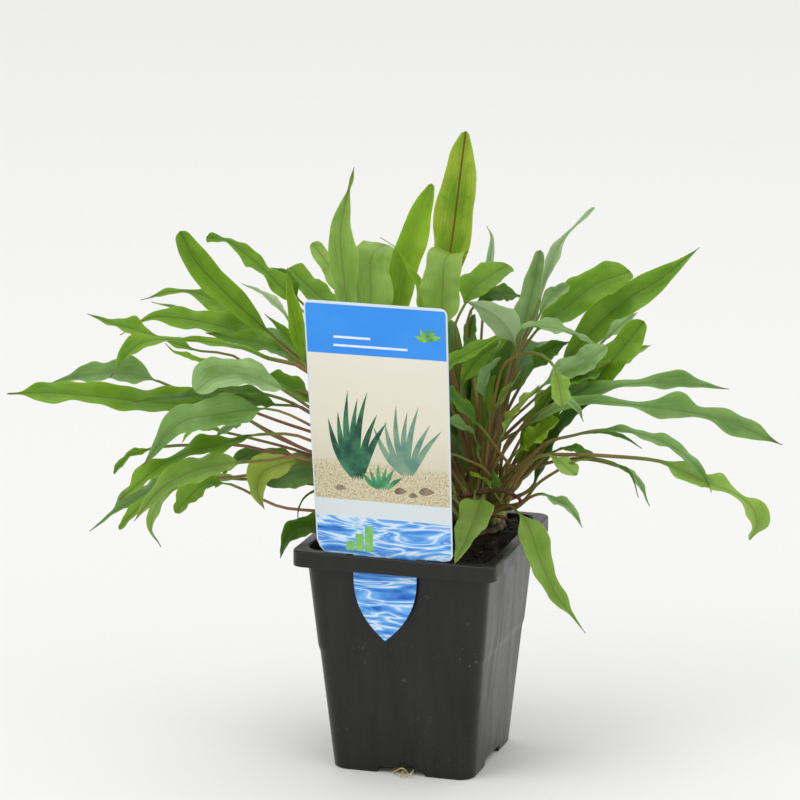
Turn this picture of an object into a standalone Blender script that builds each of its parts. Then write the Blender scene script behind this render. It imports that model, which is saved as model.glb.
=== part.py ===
"""Potted water trumpet (Cryptocoryne undulata): a square nursery pot, its soil, the plant and its label.

Metres, +Z up. The origin is the middle of the pot's underside and the pot's label side faces -Y.
The plant stands behind and to the right of the pot's axis. Each leaf is one piece, from the foot of
its stalk on the crown to its tip, lofted along a midrib that lies in the leaf's own upright plane.
"""
from collections import namedtuple
from math import cos, pi, radians, sin

import bmesh
import bpy
import numpy as np

MM = 0.001
GAP = 0.3 * MM

# The pot: a standard 9 x 9 x 10 cm nursery pot.
POT_WIDTH = 90.0 * MM
POT_HEIGHT = 100.0 * MM
BASE_WIDTH = 63.4 * MM
WALL = 1.0 * MM
EDGE = 0.6 * MM
FLOOR = 1.4 * MM
RIM_SKIRT = 7.0 * MM
SHOULDER_WIDTH = 81.0 * MM
STEP_HEIGHT = 54.0 * MM
STEP_DEPTH = 0.7 * MM
CORNER_RADIUS = 7.0 * MM
RIM_CORNER_RADIUS = 5.0 * MM
CORNER_STEPS = 3
NOTCH_WIDTH = 22.0 * MM
NOTCH_HEIGHT = 3.0 * MM
NOTCH_DEPTH = 7.0 * MM

# The label: a card that stands on the rim, with a tail through a slot in the rim's ledge.
LABEL_THICKNESS = 0.6 * MM
CARD_TOP_WIDTH = 63.0 * MM
CARD_FOOT_WIDTH = 60.0 * MM
CARD_HEIGHT = 109.0 * MM
CARD_LEAN = 4.3 * MM
CARD_CORNER = 3.0 * MM
CARD_CUT_CORNER = 7.0 * MM
LABEL_X = -3.6 * MM
LABEL_Y = -42.2 * MM
TAIL_WIDTH = 28.0 * MM
TAIL_DROP = 37.4 * MM
TAIL_STRAIGHT = 8.0 * MM
TAIL_ROUNDNESS = 1.25
TAIL_RELIEF = 0.5 * MM
SLOT_LENGTH = 31.0 * MM
SLOT_WIDTH = 1.6 * MM

# The soil, a few millimetres below the rim, with a low mound under the plant.
SOIL_TOP = 95.0 * MM
SOIL_MOUND = 4.0 * MM
MOUND_RADIUS = 24.0 * MM
SOIL_RINGS = 6

# The crown, from which every leaf grows.
CROWN_X = 15.0 * MM
CROWN_Y = 18.0 * MM
CROWN_RADIUS = 17.0 * MM
CROWN_HEIGHT = 6.0 * MM
CROWN_SKIRT = 0.5 * MM
CROWN_RINGS = 6
CROWN_STEPS = 24

# The plant's broad side looks along this heading, in degrees from +X.
SHOW_HEADING = -72.6

# The leaves' sections and how finely they are drawn.
STALK_RADIUS = 0.95 * MM
BLADE_THICKNESS = 1.0 * MM
BLADE_CUP = 0.10
STALK_STATIONS = 5
BLADE_STATIONS = 13
ROUTE_STEPS = 16
WAVES = 2.6
WAVE_START = 1.7
WAVE_LAG = 2.0

# A blade's half width grows from its neck and falls to its tip with these powers of the length.
BLADE_RISE = 0.50
BLADE_FALL = 0.65

# A stalk rises this steeply from the crown before it leans out, and a blade thins to this share.
STALK_LEAN = 0.35
STALK_RISE = 0.75
TIP_SHARE = 0.3

# The reach from the crown's axis of the rings that the leaves stand on, in metres.
FOOT_RINGS = (15.2 * MM, 11.9 * MM, 8.6 * MM)

Leaf = namedtuple("Leaf", "heading guides neck width roll twist wave")

# Each leaf: the heading of its upright plane, in degrees from +X about the crown; the midrib's guide
# points as (reach from the crown, height, sway to the left), in millimetres; the index of the guide
# point where the blade starts; the blade's width in millimetres; the roll of its upper side towards
# the plant's broad side and the twist on the way to its tip, in degrees; the edge's wave in
# millimetres.
LEAVES = (
    # Upper left, leaning back.
    Leaf(183, ((88, 179), (100, 189), (110, 198), (122, 210), (129, 223)), 0, 16, 60, 0, 0.6),
    Leaf(157, ((97, 182), (113, 193), (128, 201), (140, 206), (153, 206)), 0, 11, 30, 0, 1.8),
    Leaf(146, ((86, 177), (106, 183), (127, 192)), 0, 12, 25, 0, 0.8),
    Leaf(162, ((111, 171), (125, 177), (140, 182), (157, 183), (180, 176)), 0, 17, 28, 0, 1.0),
    Leaf(176, ((77, 168), (88, 172), (110, 177), (132, 180), (150, 179), (165, 170)), 1, 17, 28, 20, 1.4),
    Leaf(189, ((102, 171), (117, 173), (128, 176), (144, 181), (156, 184), (167, 188)), 1, 13, 20, 0, 1.0),
    Leaf(197, ((79, 177), (90, 180), (100, 182), (113, 185)), 0, 14, 28, 0, 0.8),
    # Left, nearly level.
    Leaf(204, ((71, 171), (86, 176), (101, 182), (121, 185), (141, 184), (154, 170)), 1, 16, 16, 0, 1.2),
    Leaf(193, ((99, 152), (119, 156), (134, 163), (147, 166), (160, 166), (182, 160)), 2, 14, 18, 0, 0.8),
    Leaf(203, ((72, 136), (88, 145), (105, 154), (139, 158), (161, 161),
               (181, 163), (198, 163)), 2, 19, 30, 0, 1.4),
    Leaf(209, ((72, 155), (87, 162), (102, 164), (117, 163), (146, 162)), 1, 12, 12, 0, 0.8),
    Leaf(220, ((77, 143), (84, 154), (91, 166), (98, 176), (107, 179),
               (118, 178), (125, 173)), 3, 15, 28, 0, 0.6),
    Leaf(225, ((79, 155), (88, 160), (97, 163), (116, 163), (137, 161), (154, 145)), 2, 17, 35, 0, 1.0),
    Leaf(205, ((71, 154), (82, 156), (88, 157), (101, 159), (118, 157)), 1, 14, 20, 0, 0.8),
    Leaf(215, ((75, 140), (90, 148), (98, 154), (103, 153), (113, 148)), 2, 10, 12, 0, 0.6),
    # Lower left, coming forward.
    Leaf(225, ((79, 148), (92, 151), (104, 149), (121, 148), (137, 147),
               (151, 143), (165, 132)), 1, 16, 25, 0, 1.6),
    Leaf(204, ((73, 127), (95, 131), (116, 127), (133, 121), (149, 113), (164, 102)), 2, 17, 22, 0, 1.6),
    Leaf(224, ((79, 140), (97, 142), (113, 141), (131, 139), (145, 133), (157, 121)), 1, 19, 30, 0, 1.2),
    Leaf(210, ((74, 123), (100, 126), (118, 126), (132, 122), (139, 107), (135, 98)), 1, 14, 15, 0, 1.0),
    Leaf(218, ((72, 113), (86, 116), (99, 123), (108, 128), (120, 129), (133, 118)), 3, 13, 16, 0, 0.8),
    Leaf(197, ((71, 129), (79, 131), (88, 132), (99, 129), (110, 119)), 1, 13, 16, 0, 0.6),
    Leaf(221, ((79, 136), (87, 136), (96, 133), (98, 126), (95, 117)), 0, 14, 30, 0, 0.6),
    Leaf(218, ((63, 127), (72, 130), (82, 130), (93, 127)), 0, 17, 30, 0, 0.6),
    Leaf(213, ((55, 109), (66, 109), (75, 106), (81, 100), (84, 89)), 0, 12, 25, 0, 0.8),
    # Upright, in the middle.
    Leaf(122, ((41, 193, 44), (57, 204, 47), (70, 213, 52)), 0, 12, 25, 0, 0.8),
    Leaf(129, ((20, 186, 46), (25, 203, 47), (33, 227, 46), (40, 253, 37)), 0, 13, 0, 0, 0.8),
    Leaf(121, ((16, 185, 39), (21, 201, 38), (29, 214, 36), (40, 217, 27)), 0, 18, 0, 0, 0.6),
    Leaf(116, ((21, 182, 27), (29, 201, 25), (36, 219, 19), (44, 242, 9)), 0, 14, 0, 0, 0.8),
    Leaf(94, ((6, 184, 13), (8, 197, 14), (12, 223, 11), (14, 251, 8), (16, 270, 5)), 0, 16, 0, 0, 0.6),
    Leaf(83, ((-8, 187, 8), (-7, 205, 9), (-3, 218, 9), (8, 217, 7)), 0, 18, 0, 0, 0.6),
    Leaf(87, ((19, 181, 13), (38, 197, 10), (58, 203, 2)), 0, 14, 12, 0, 1.0),
    Leaf(82, ((36, 179, 17), (44, 188, 16), (55, 190, 10), (68, 186, 0)), 1, 12, 0, 0, 1.0),
    Leaf(11, ((5, 156), (9, 171), (16, 185), (20, 195)), 1, 14, 0, 0, 0.8),
    Leaf(320, ((15, 168, 14), (25, 184, 7), (34, 196, -4), (40, 205, -17),
               (46, 212, -32)), 1, 14, 0, 0, 0.6),
    # Right, leaning back.
    Leaf(65, ((14, 135), (24, 155), (34, 176), (42, 197), (47, 214)), 2, 12, 20, 0, 0.8),
    Leaf(53, ((28, 174), (38, 194), (42, 205), (50, 219), (68, 232)), 1, 7, 20, 0, 0.6),
    Leaf(59, ((27, 164), (39, 179), (57, 187), (75, 195), (97, 198)), 1, 16, 40, 0, 1.0),
    Leaf(57, ((53, 160), (71, 175), (91, 186), (112, 193), (136, 204)), 1, 16, 40, 0, 0.8),
    Leaf(44, ((45, 153), (60, 162), (75, 167), (90, 170)), 1, 14, 30, 0, 0.8),
    Leaf(34, ((49, 147), (60, 162), (70, 173), (80, 185)), 0, 16, 50, 0, 1.0),
    Leaf(35, ((23, 184), (35, 185), (48, 181), (62, 173)), 0, 13, 12, 0, 0.8),
    # Right, nearly level and drooping.
    Leaf(14, ((16, 135), (31, 148), (46, 156), (59, 161), (74, 164),
              (91, 164), (112, 162)), 2, 15, 18, 0, 1.0),
    Leaf(2, ((10, 132), (25, 145), (43, 157), (78, 158), (97, 157),
             (115, 153), (138, 145)), 2, 17, 25, 0, 1.8),
    Leaf(348, ((35, 139), (52, 146), (74, 151), (94, 150), (108, 144), (116, 129)), 2, 10, 20, 0, 0.8),
    Leaf(342, ((32, 133), (53, 140), (79, 140), (100, 141), (117, 137), (133, 138),
               (147, 128), (141, 115)), 3, 14, 20, 0, 1.6),
    Leaf(329, ((24, 116), (34, 116), (42, 109), (47, 97), (55, 80), (65, 69), (74, 67)), 1, 14, 30, 0, 1.4),
    Leaf(265, ((13, 112, 9), (21, 111, 11), (32, 107, 12), (44, 97, 11)), 1, 15, 0, 0, 1.0),
    Leaf(332, ((19, 171), (30, 180), (42, 179), (53, 173), (58, 162)), 1, 12, 20, 0, 0.8),
    Leaf(358, ((15, 123), (21, 133), (30, 141), (41, 150)), 1, 15, 30, 0, 1.0),
    Leaf(339, ((12, 126), (17, 140), (25, 153), (38, 168)), 1, 14, 30, 0, 1.0),
    # Behind and low: the photo hides these, so they are guessed.
    Leaf(149, ((60, 150), (90, 160), (125, 158)), 0, 14, 10, 0, 1.2),
    Leaf(127, ((50, 150), (80, 164), (112, 160)), 0, 15, 0, 0, 1.2),
    Leaf(97, ((40, 140), (70, 156), (104, 152)), 0, 15, 0, 0, 1.2),
    Leaf(85, ((45, 145), (78, 160), (112, 158)), 0, 15, 0, 0, 1.2),
    Leaf(66, ((45, 140), (75, 150), (105, 142)), 0, 14, 0, 0, 1.2),
)


def material(name, colour, roughness, metallic=0.0):
    """A Principled material of one plain colour."""
    made = bpy.data.materials.new(name)
    made.use_nodes = True
    shader = made.node_tree.nodes["Principled BSDF"]
    shader.inputs["Base Color"].default_value = (*colour, 1.0)
    shader.inputs["Roughness"].default_value = roughness
    shader.inputs["Metallic"].default_value = metallic
    return made


def mesh_object(name, vertices, faces, made, group):
    """A mesh object with its faces turned outwards."""
    mesh = bpy.data.meshes.new(name)
    mesh.from_pydata([tuple(v) for v in vertices], [], faces)
    shape = bmesh.new()
    shape.from_mesh(mesh)
    bmesh.ops.recalc_face_normals(shape, faces=shape.faces)
    shape.to_mesh(mesh)
    shape.free()
    if made:
        mesh.materials.append(made)
    thing = bpy.data.objects.new(name, mesh)
    group.objects.link(thing)
    return thing


def loft_faces(rings, around):
    """Quads between rings of equally many points, and a face on each end."""
    faces = []
    for ring in range(rings - 1):
        for point in range(around):
            after = (point + 1) % around
            faces.append((ring * around + point, ring * around + after,
                          (ring + 1) * around + after, (ring + 1) * around + point))
    faces.append(tuple(range(around)))
    faces.append(tuple((rings - 1) * around + point for point in reversed(range(around))))
    return faces


def rounded_square(half, radius):
    """Points around a square of the given half width whose corners are arcs of the given radius."""
    points = []
    for corner in range(4):
        start = corner * pi / 2.0
        x = (half - radius) * (1.0 if corner in (0, 3) else -1.0)
        y = (half - radius) * (1.0 if corner in (0, 1) else -1.0)
        for step in range(CORNER_STEPS + 1):
            angle = start + step * pi / 2.0 / CORNER_STEPS
            points.append((x + radius * cos(angle), y + radius * sin(angle)))
    return points


def square_loft(name, profile, made, group):
    """A solid through rounded squares, each given as half width, corner radius and height."""
    vertices = []
    for half, radius, height in profile:
        vertices += [(x, y, height) for x, y in rounded_square(half, radius)]
    around = 4 * (CORNER_STEPS + 1)
    return mesh_object(name, vertices, loft_faces(len(profile), around), made, group)


def wall_half(height):
    """Half the width of the pot's outer wall at a height, above or below its step."""
    straight = BASE_WIDTH + (SHOULDER_WIDTH - BASE_WIDTH) * height / (POT_HEIGHT - RIM_SKIRT)
    return straight / 2.0


def cut(thing, cutter):
    """Cut one object out of another."""
    cutter.hide_render = True
    cutter.display_type = "WIRE"
    boolean = thing.modifiers.new("Cut " + cutter.name, "BOOLEAN")
    boolean.operation = "DIFFERENCE"
    boolean.solver = "EXACT"
    boolean.object = cutter


def box(name, size, centre, group):
    """A plain box."""
    shape = bmesh.new()
    bmesh.ops.create_cube(shape, size=1.0)
    bmesh.ops.scale(shape, vec=size, verts=shape.verts)
    mesh = bpy.data.meshes.new(name)
    shape.to_mesh(mesh)
    shape.free()
    thing = bpy.data.objects.new(name, mesh)
    thing.location = centre
    group.objects.link(thing)
    return thing


def build_pot(parts, cutters):
    """The pot: a tapered shell with a step half way up and a turned-down rim."""
    plastic = material("moulded black polypropylene", (0.030, 0.030, 0.032), 0.45)
    edge = EDGE
    rim = POT_WIDTH / 2.0
    skirt = POT_HEIGHT - RIM_SKIRT
    below = wall_half(STEP_HEIGHT) - STEP_DEPTH / 2.0
    above = wall_half(STEP_HEIGHT) + STEP_DEPTH / 2.0
    neck = wall_half(POT_HEIGHT - WALL)
    base = BASE_WIDTH / 2.0
    radius = CORNER_RADIUS
    lip = RIM_CORNER_RADIUS
    profile = (
        (base - edge, radius - edge, 0.0),
        (base, radius, edge),
        (below, radius, STEP_HEIGHT - edge),
        (above, radius, STEP_HEIGHT + edge),
        (neck, radius, POT_HEIGHT - WALL),
        (rim - WALL, lip - WALL, POT_HEIGHT - WALL),
        (rim - WALL, lip - WALL, skirt),
        (rim, lip, skirt),
        (rim, lip, POT_HEIGHT - edge),
        (rim - edge, lip - edge, POT_HEIGHT),
        (neck - WALL + edge, radius - WALL + edge, POT_HEIGHT),
        (neck - WALL, radius - WALL, POT_HEIGHT - edge),
        (above - WALL, radius - WALL, STEP_HEIGHT + edge),
        (below - WALL, radius - WALL, STEP_HEIGHT - edge),
        (base - WALL, radius - WALL, FLOOR),
    )
    pot = square_loft("pot", profile, plastic, parts)
    for turn in range(4):
        angle = turn * pi / 2.0
        reach = base - NOTCH_DEPTH / 2.0 + edge
        size = (NOTCH_WIDTH, NOTCH_DEPTH + 2.0 * edge, 2.0 * NOTCH_HEIGHT)
        centre = (reach * sin(angle), -reach * cos(angle), 0.0)
        notch = box("drain notch %d" % (turn + 1), size, centre, cutters)
        notch.rotation_euler = (0.0, 0.0, angle)
        cut(pot, notch)
    size = (SLOT_LENGTH, SLOT_WIDTH, 4.0 * WALL)
    slot = box("label slot", size, (LABEL_X, LABEL_Y, POT_HEIGHT), cutters)
    cut(pot, slot)
    return pot


def soil_height(x, y):
    """The soil's height: level, with a mound that is flat under the crown."""
    away = np.hypot(x - CROWN_X, y - CROWN_Y)
    rise = min(max((CROWN_RADIUS + MOUND_RADIUS - away) / MOUND_RADIUS, 0.0), 1.0)
    return SOIL_TOP + SOIL_MOUND * rise * rise * (3.0 - 2.0 * rise)


def build_soil(parts):
    """The soil: it fills the pot up to a few millimetres below the rim."""
    peat = material("damp peat", (0.020, 0.013, 0.009), 0.95)
    clear = WALL + GAP
    radius = CORNER_RADIUS - clear
    below = wall_half(STEP_HEIGHT) - STEP_DEPTH / 2.0 - clear
    base = BASE_WIDTH / 2.0 - clear
    top = wall_half(SOIL_TOP) - clear - 0.5 * MM
    levels = [(base, radius, NOTCH_HEIGHT + GAP),
              (below, radius, STEP_HEIGHT - 2.0 * MM),
              (top, radius, SOIL_TOP)]
    for ring in range(1, SOIL_RINGS):
        share = 1.0 - ring / SOIL_RINGS
        levels.append((top * share, radius * share, SOIL_TOP))
    vertices = []
    for index, (half, corner, height) in enumerate(levels):
        for x, y in rounded_square(half, corner):
            vertices.append((x, y, height if index < 2 else soil_height(x, y)))
    return mesh_object("soil", vertices, loft_faces(len(levels), 4 * (CORNER_STEPS + 1)), peat, parts)


def crown_height(reach):
    """The crown's height at a reach from its own axis."""
    share = min(reach / CROWN_RADIUS, 1.0)
    return SOIL_TOP + SOIL_MOUND + GAP + CROWN_HEIGHT * (1.0 - share * share) ** 0.5


def build_crown(parts):
    """The crown: a low dome of packed leaf bases, turned from its profile."""
    sheath = material("leaf sheaths", (0.115, 0.045, 0.022), 0.6)
    foot = SOIL_TOP + SOIL_MOUND + GAP
    reaches = [CROWN_RADIUS * sin(pi / 2.0 * ring / CROWN_RINGS) for ring in range(CROWN_RINGS)]
    points = [(reach, 0.0, crown_height(reach)) for reach in reaches]
    points.append((CROWN_RADIUS, 0.0, foot + CROWN_SKIRT))
    points.append((CROWN_RADIUS - CROWN_SKIRT, 0.0, foot))
    points.append((0.0, 0.0, foot))
    mesh = bpy.data.meshes.new("crown")
    mesh.from_pydata(points, [(n, n + 1) for n in range(len(points) - 1)], [])
    mesh.materials.append(sheath)
    crown = bpy.data.objects.new("crown", mesh)
    crown.location = (CROWN_X, CROWN_Y, 0.0)
    turn = crown.modifiers.new("Turn", "SCREW")
    turn.steps = CROWN_STEPS
    turn.render_steps = CROWN_STEPS
    turn.use_merge_vertices = True
    turn.merge_threshold = 0.00001
    parts.objects.link(crown)
    return crown


def arc(centre_x, centre_y, radius, start, end, steps):
    """Points along an arc, with its ends in degrees."""
    angles = [radians(start + (end - start) * step / steps) for step in range(steps + 1)]
    return [(centre_x + radius * cos(angle), centre_y + radius * sin(angle)) for angle in angles]


def label_outline():
    """The label's outline seen from the front, from the tail's right shoulder round to its left."""
    foot = POT_HEIGHT + GAP
    half_foot = CARD_FOOT_WIDTH / 2.0
    half_top = CARD_TOP_WIDTH / 2.0
    top = foot + CARD_HEIGHT
    corner = CARD_CORNER
    points = []
    points += arc(LABEL_X + half_foot - corner, foot + corner, corner, -90, 0, 3)
    points += arc(LABEL_X - CARD_LEAN + half_top - corner, top - corner, corner, 0, 90, 3)
    points += arc(LABEL_X - CARD_LEAN - half_top + corner, top - corner, corner, 90, 180, 3)
    points.append((LABEL_X - half_foot, foot + 1.6 * CARD_CUT_CORNER))
    points.append((LABEL_X - half_foot + 0.4 * CARD_CUT_CORNER, foot + 0.6 * CARD_CUT_CORNER))
    points.append((LABEL_X - half_foot + CARD_CUT_CORNER, foot))
    half_tail = TAIL_WIDTH / 2.0
    points.append((LABEL_X - half_tail, foot + TAIL_RELIEF))
    steps = 12
    for step in range(steps + 1):
        angle = pi * step / steps
        drop = (TAIL_DROP - TAIL_STRAIGHT) * sin(angle) ** TAIL_ROUNDNESS
        points.append((LABEL_X - half_tail * cos(angle), foot - TAIL_STRAIGHT - drop))
    points.append((LABEL_X + half_tail, foot + TAIL_RELIEF))
    return points


def build_label(parts):
    """The label: a thin plastic card with a tail, cut from its outline."""
    card = material("printed polystyrene label", (0.72, 0.78, 0.86), 0.4)
    curve = bpy.data.curves.new("plant_label", "CURVE")
    curve.dimensions = "2D"
    curve.fill_mode = "BOTH"
    curve.extrude = LABEL_THICKNESS / 2.0
    outline = label_outline()
    spline = curve.splines.new("POLY")
    spline.points.add(len(outline) - 1)
    for point, (x, z) in zip(spline.points, outline):
        point.co = (x, z, 0.0, 1.0)
    spline.use_cyclic_u = True
    curve.materials.append(card)
    label = bpy.data.objects.new("plant_label", curve)
    label.rotation_euler = (pi / 2.0, 0.0, 0.0)
    label.location = (0.0, LABEL_Y, 0.0)
    parts.objects.link(label)
    return label


def crown_feet():
    """Where each leaf leaves the crown.

    The leaves are spread evenly round the crown in the order of their headings. Of each three
    neighbours the lowest stands on the outer ring and the highest on the inner one.
    """
    def rise(index):
        reach, height = LEAVES[index].guides[LEAVES[index].neck][:2]
        return (height - 100.0) / (abs(reach) + 20.0)

    order = sorted(range(len(LEAVES)), key=lambda index: LEAVES[index].heading % 360)
    mean_heading = sum(LEAVES[index].heading % 360 for index in order) / len(order)
    feet = {}
    for first in range(0, len(order), len(FOOT_RINGS)):
        trio = order[first:first + len(FOOT_RINGS)]
        for ring, index in zip(FOOT_RINGS, sorted(trio, key=rise)):
            rank = order.index(index)
            angle = radians(mean_heading + (rank - (len(order) - 1) / 2.0) * 360.0 / len(order))
            feet[index] = (ring * cos(angle), ring * sin(angle))
    return feet


def leaf_route(leaf, foot):
    """The midrib as closely set points, and the number of the one where the blade starts."""
    heading = radians(leaf.heading)
    outward = np.array((cos(heading), sin(heading), 0.0))
    left = np.array((-sin(heading), cos(heading), 0.0))
    centre = np.array((CROWN_X, CROWN_Y, 0.0))
    start_height = crown_height(np.hypot(*foot)) + GAP + STALK_RADIUS
    knots = [centre + np.array((foot[0], foot[1], start_height))]
    for guide in leaf.guides:
        reach, height, sway = (*guide, 0.0)[:3]
        knots.append(centre + (outward * reach + left * sway) * MM + np.array((0.0, 0.0, height * MM)))
    knots = np.array(knots)
    first = knots[1] - knots[0]
    rise = np.linalg.norm(first)
    lean = first * STALK_LEAN + np.array((0.0, 0.0, STALK_RISE * rise))
    before = knots[1] - lean * 2.0
    after = knots[-1] + (knots[-1] - knots[-2]) * 0.7
    chain = np.vstack([before, knots, after])
    route = []
    for number in range(1, len(chain) - 2):
        t = np.linspace(0.0, 1.0, ROUTE_STEPS, endpoint=False)[:, None]
        span = np.linalg.norm(chain[number + 1] - chain[number])
        leave = tangent(chain, number) * span
        reach_in = tangent(chain, number + 1) * span
        route.append((2 * t**3 - 3 * t**2 + 1) * chain[number] + (t**3 - 2 * t**2 + t) * leave
                     + (3 * t**2 - 2 * t**3) * chain[number + 1] + (t**3 - t**2) * reach_in)
    route.append(knots[-1:])
    return np.vstack(route), (leaf.neck + 1) * ROUTE_STEPS


def tangent(chain, number):
    """The direction of the curve at one knot: along the line through its neighbours."""
    step = chain[number + 1] - chain[number - 1]
    return step / np.linalg.norm(step)


def blade_outline(share):
    """Half width of a blade for a share of its length, as a share of its widest half."""
    widest = BLADE_RISE / (BLADE_RISE + BLADE_FALL)
    peak = widest ** BLADE_RISE * (1.0 - widest) ** BLADE_FALL
    return share ** BLADE_RISE * (1.0 - share) ** BLADE_FALL / peak


def leaf_sections(leaf, foot, index):
    """The four corners of each section along a leaf: left edge, upper side, right edge, under side."""
    route, neck = leaf_route(leaf, foot)
    along = np.concatenate([[0.0], np.cumsum(np.linalg.norm(np.diff(route, axis=0), axis=1))])
    stations = np.concatenate([np.linspace(0.0, along[neck], STALK_STATIONS, endpoint=False),
                               np.linspace(along[neck], along[-1], BLADE_STATIONS)])
    middle = np.stack([np.interp(stations, along, route[:, axis]) for axis in range(3)], axis=1)
    slope = np.gradient(route, along, axis=0)
    forward = np.stack([np.interp(stations, along, slope[:, axis]) for axis in range(3)], axis=1)
    forward /= np.linalg.norm(forward, axis=1)[:, None]
    heading = radians(leaf.heading)
    across = np.array((-sin(heading), cos(heading), 0.0))
    show = np.array((cos(radians(SHOW_HEADING)), sin(radians(SHOW_HEADING)), 0.0))
    hand = 1.0 if across @ show > 0.0 else -1.0
    across = across * hand
    side = across - forward * (forward @ across)[:, None]
    side /= np.linalg.norm(side, axis=1)[:, None]
    upper = np.cross(forward, side) * hand
    share = np.clip((stations - along[neck]) / (along[-1] - along[neck]), 0.0, 1.0)
    turn = np.radians(leaf.roll + leaf.twist * share) * np.clip(stations / along[neck], 0.0, 1.0)
    turn = turn[:, None]
    upper, side = upper * np.cos(turn) + side * np.sin(turn), side * np.cos(turn) - upper * np.sin(turn)
    taper = 1.0 - (1.0 - TIP_SHARE) * share
    half = np.maximum(leaf.width * MM / 2.0 * blade_outline(share), STALK_RADIUS * taper)
    thick = np.where(share > 0.0, BLADE_THICKNESS / 2.0, STALK_RADIUS) * taper
    phase = index * WAVE_START
    cup = BLADE_CUP * (half - STALK_RADIUS * taper)
    swell = leaf.wave * MM * blade_outline(share)
    near = cup + swell * np.sin(2.0 * pi * WAVES * share + phase)
    far = cup + swell * np.sin(2.0 * pi * WAVES * share + phase + WAVE_LAG)
    return np.stack([middle + side * half[:, None] + upper * near[:, None],
                     middle + upper * thick[:, None],
                     middle - side * half[:, None] + upper * far[:, None],
                     middle - upper * thick[:, None]], axis=1)


def leaf_faces(rings):
    """Triangles between the sections, with the same diagonals above and below the blade.

    Each quad's diagonal starts at the leaf's edge, on both sides, so the two sides never meet
    between the sections, however much the edge waves.
    """
    faces = [(3, 2, 1, 0)]
    for ring in range(0, 4 * (rings - 1), 4):
        for edge in (0, 2):
            for middle in (1, 3):
                near, far = (ring + edge, ring + edge + 4)
                low, high = (ring + middle, ring + middle + 4)
                faces += [(near, low, high), (near, high, far)]
    last = 4 * (rings - 1)
    faces.append((last, last + 1, last + 2, last + 3))
    return faces


def build_leaves(parts):
    """Every leaf, each a loft from its stalk's foot to its tip."""
    blade = material("living leaf", (0.105, 0.235, 0.030), 0.45)
    feet = crown_feet()
    for index, leaf in enumerate(LEAVES):
        sections = leaf_sections(leaf, feet[index], index)
        faces = leaf_faces(len(sections))
        mesh_object("leaf_%02d" % (index + 1), sections.reshape(-1, 3), faces, blade, parts)


def collection(name):
    """A collection of its own in the scene."""
    made = bpy.data.collections.new(name)
    bpy.context.scene.collection.children.link(made)
    return made


def main():
    for thing in list(bpy.data.objects):
        bpy.data.objects.remove(thing, do_unlink=True)
    parts = collection("potted cryptocoryne undulata")
    cutters = collection("cutters")
    build_pot(parts, cutters)
    build_soil(parts)
    build_crown(parts)
    build_label(parts)
    build_leaves(parts)


main()
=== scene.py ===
"""A potted water trumpet, dressed: leaves, peat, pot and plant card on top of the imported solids.

Metres, +Z up, in the solids' own frame: the origin is the middle of the pot's underside and the
card stands on the side that faces -Y. Every leaf repeats its row of the solid model, so its stalk,
midrib and tilt are the solid's, and its blade is drawn finer, with a wavy edge.
"""
from collections import namedtuple
from math import cos, pi, radians, sin

import bpy
import numpy as np
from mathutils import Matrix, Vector


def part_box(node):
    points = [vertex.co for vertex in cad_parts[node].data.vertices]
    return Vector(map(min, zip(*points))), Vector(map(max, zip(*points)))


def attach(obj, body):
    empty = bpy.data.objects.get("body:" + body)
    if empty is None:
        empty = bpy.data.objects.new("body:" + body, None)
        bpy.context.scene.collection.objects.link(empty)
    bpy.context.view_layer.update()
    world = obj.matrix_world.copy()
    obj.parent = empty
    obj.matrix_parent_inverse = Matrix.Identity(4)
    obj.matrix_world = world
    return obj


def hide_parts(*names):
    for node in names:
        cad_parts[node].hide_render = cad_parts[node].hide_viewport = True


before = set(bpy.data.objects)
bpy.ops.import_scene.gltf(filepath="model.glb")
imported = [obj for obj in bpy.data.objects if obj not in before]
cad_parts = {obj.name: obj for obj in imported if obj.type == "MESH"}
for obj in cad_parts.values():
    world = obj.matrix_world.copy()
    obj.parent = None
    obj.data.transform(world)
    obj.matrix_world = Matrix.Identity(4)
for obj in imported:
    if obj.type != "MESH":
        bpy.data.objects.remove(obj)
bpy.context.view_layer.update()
POT_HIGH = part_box("pot")[1]

bl_info = {
    "name": "Potted water trumpet",
    "version": (1, 0, 0),
    "blender": (4, 5, 0),
    "location": "View3D > Sidebar > Water trumpet",
    "description": "Builds a potted aquarium plant with its peat, its pot and its card",
    "category": "Add Mesh",
}

MM = 0.001
COLOUR = {"size": 4, "subtype": "COLOR", "min": 0.0, "max": 1.0}

# The pot's profile, as in the solid model.
POT_HEIGHT = POT_HIGH[2]
RIM_HALF = POT_HIGH[0]
BASE_HALF = 31.7 * MM
SHOULDER_HALF = 40.5 * MM
RIM_SKIRT = 7.0 * MM
WALL = 1.0 * MM
FLOOR = 1.4 * MM
STEP_HEIGHT = 54.0 * MM
STEP_DEPTH = 0.7 * MM
# The scuffed spot on the front of the step, near the corner.
SCUFF = (31.0 * MM, -36.5 * MM, 56.0 * MM)
CORNER_RADIUS = 7.0 * MM
RIM_RADIUS = 5.0 * MM
NOTCH_HALF = 11.0 * MM
NOTCH_HEIGHT = 3.0 * MM
NOTCH_DEPTH = 7.0 * MM
NOTCH_EASE = 1.2 * MM

# The soil and the crown.
SOIL_TOP = 95.0 * MM
SOIL_MOUND = 4.0 * MM
MOUND_RADIUS = 24.0 * MM
CROWN_X = 15.0 * MM
CROWN_Y = 18.0 * MM
CROWN_RADIUS = 17.0 * MM
CROWN_HEIGHT = 6.0 * MM
GAP = 0.3 * MM

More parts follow.
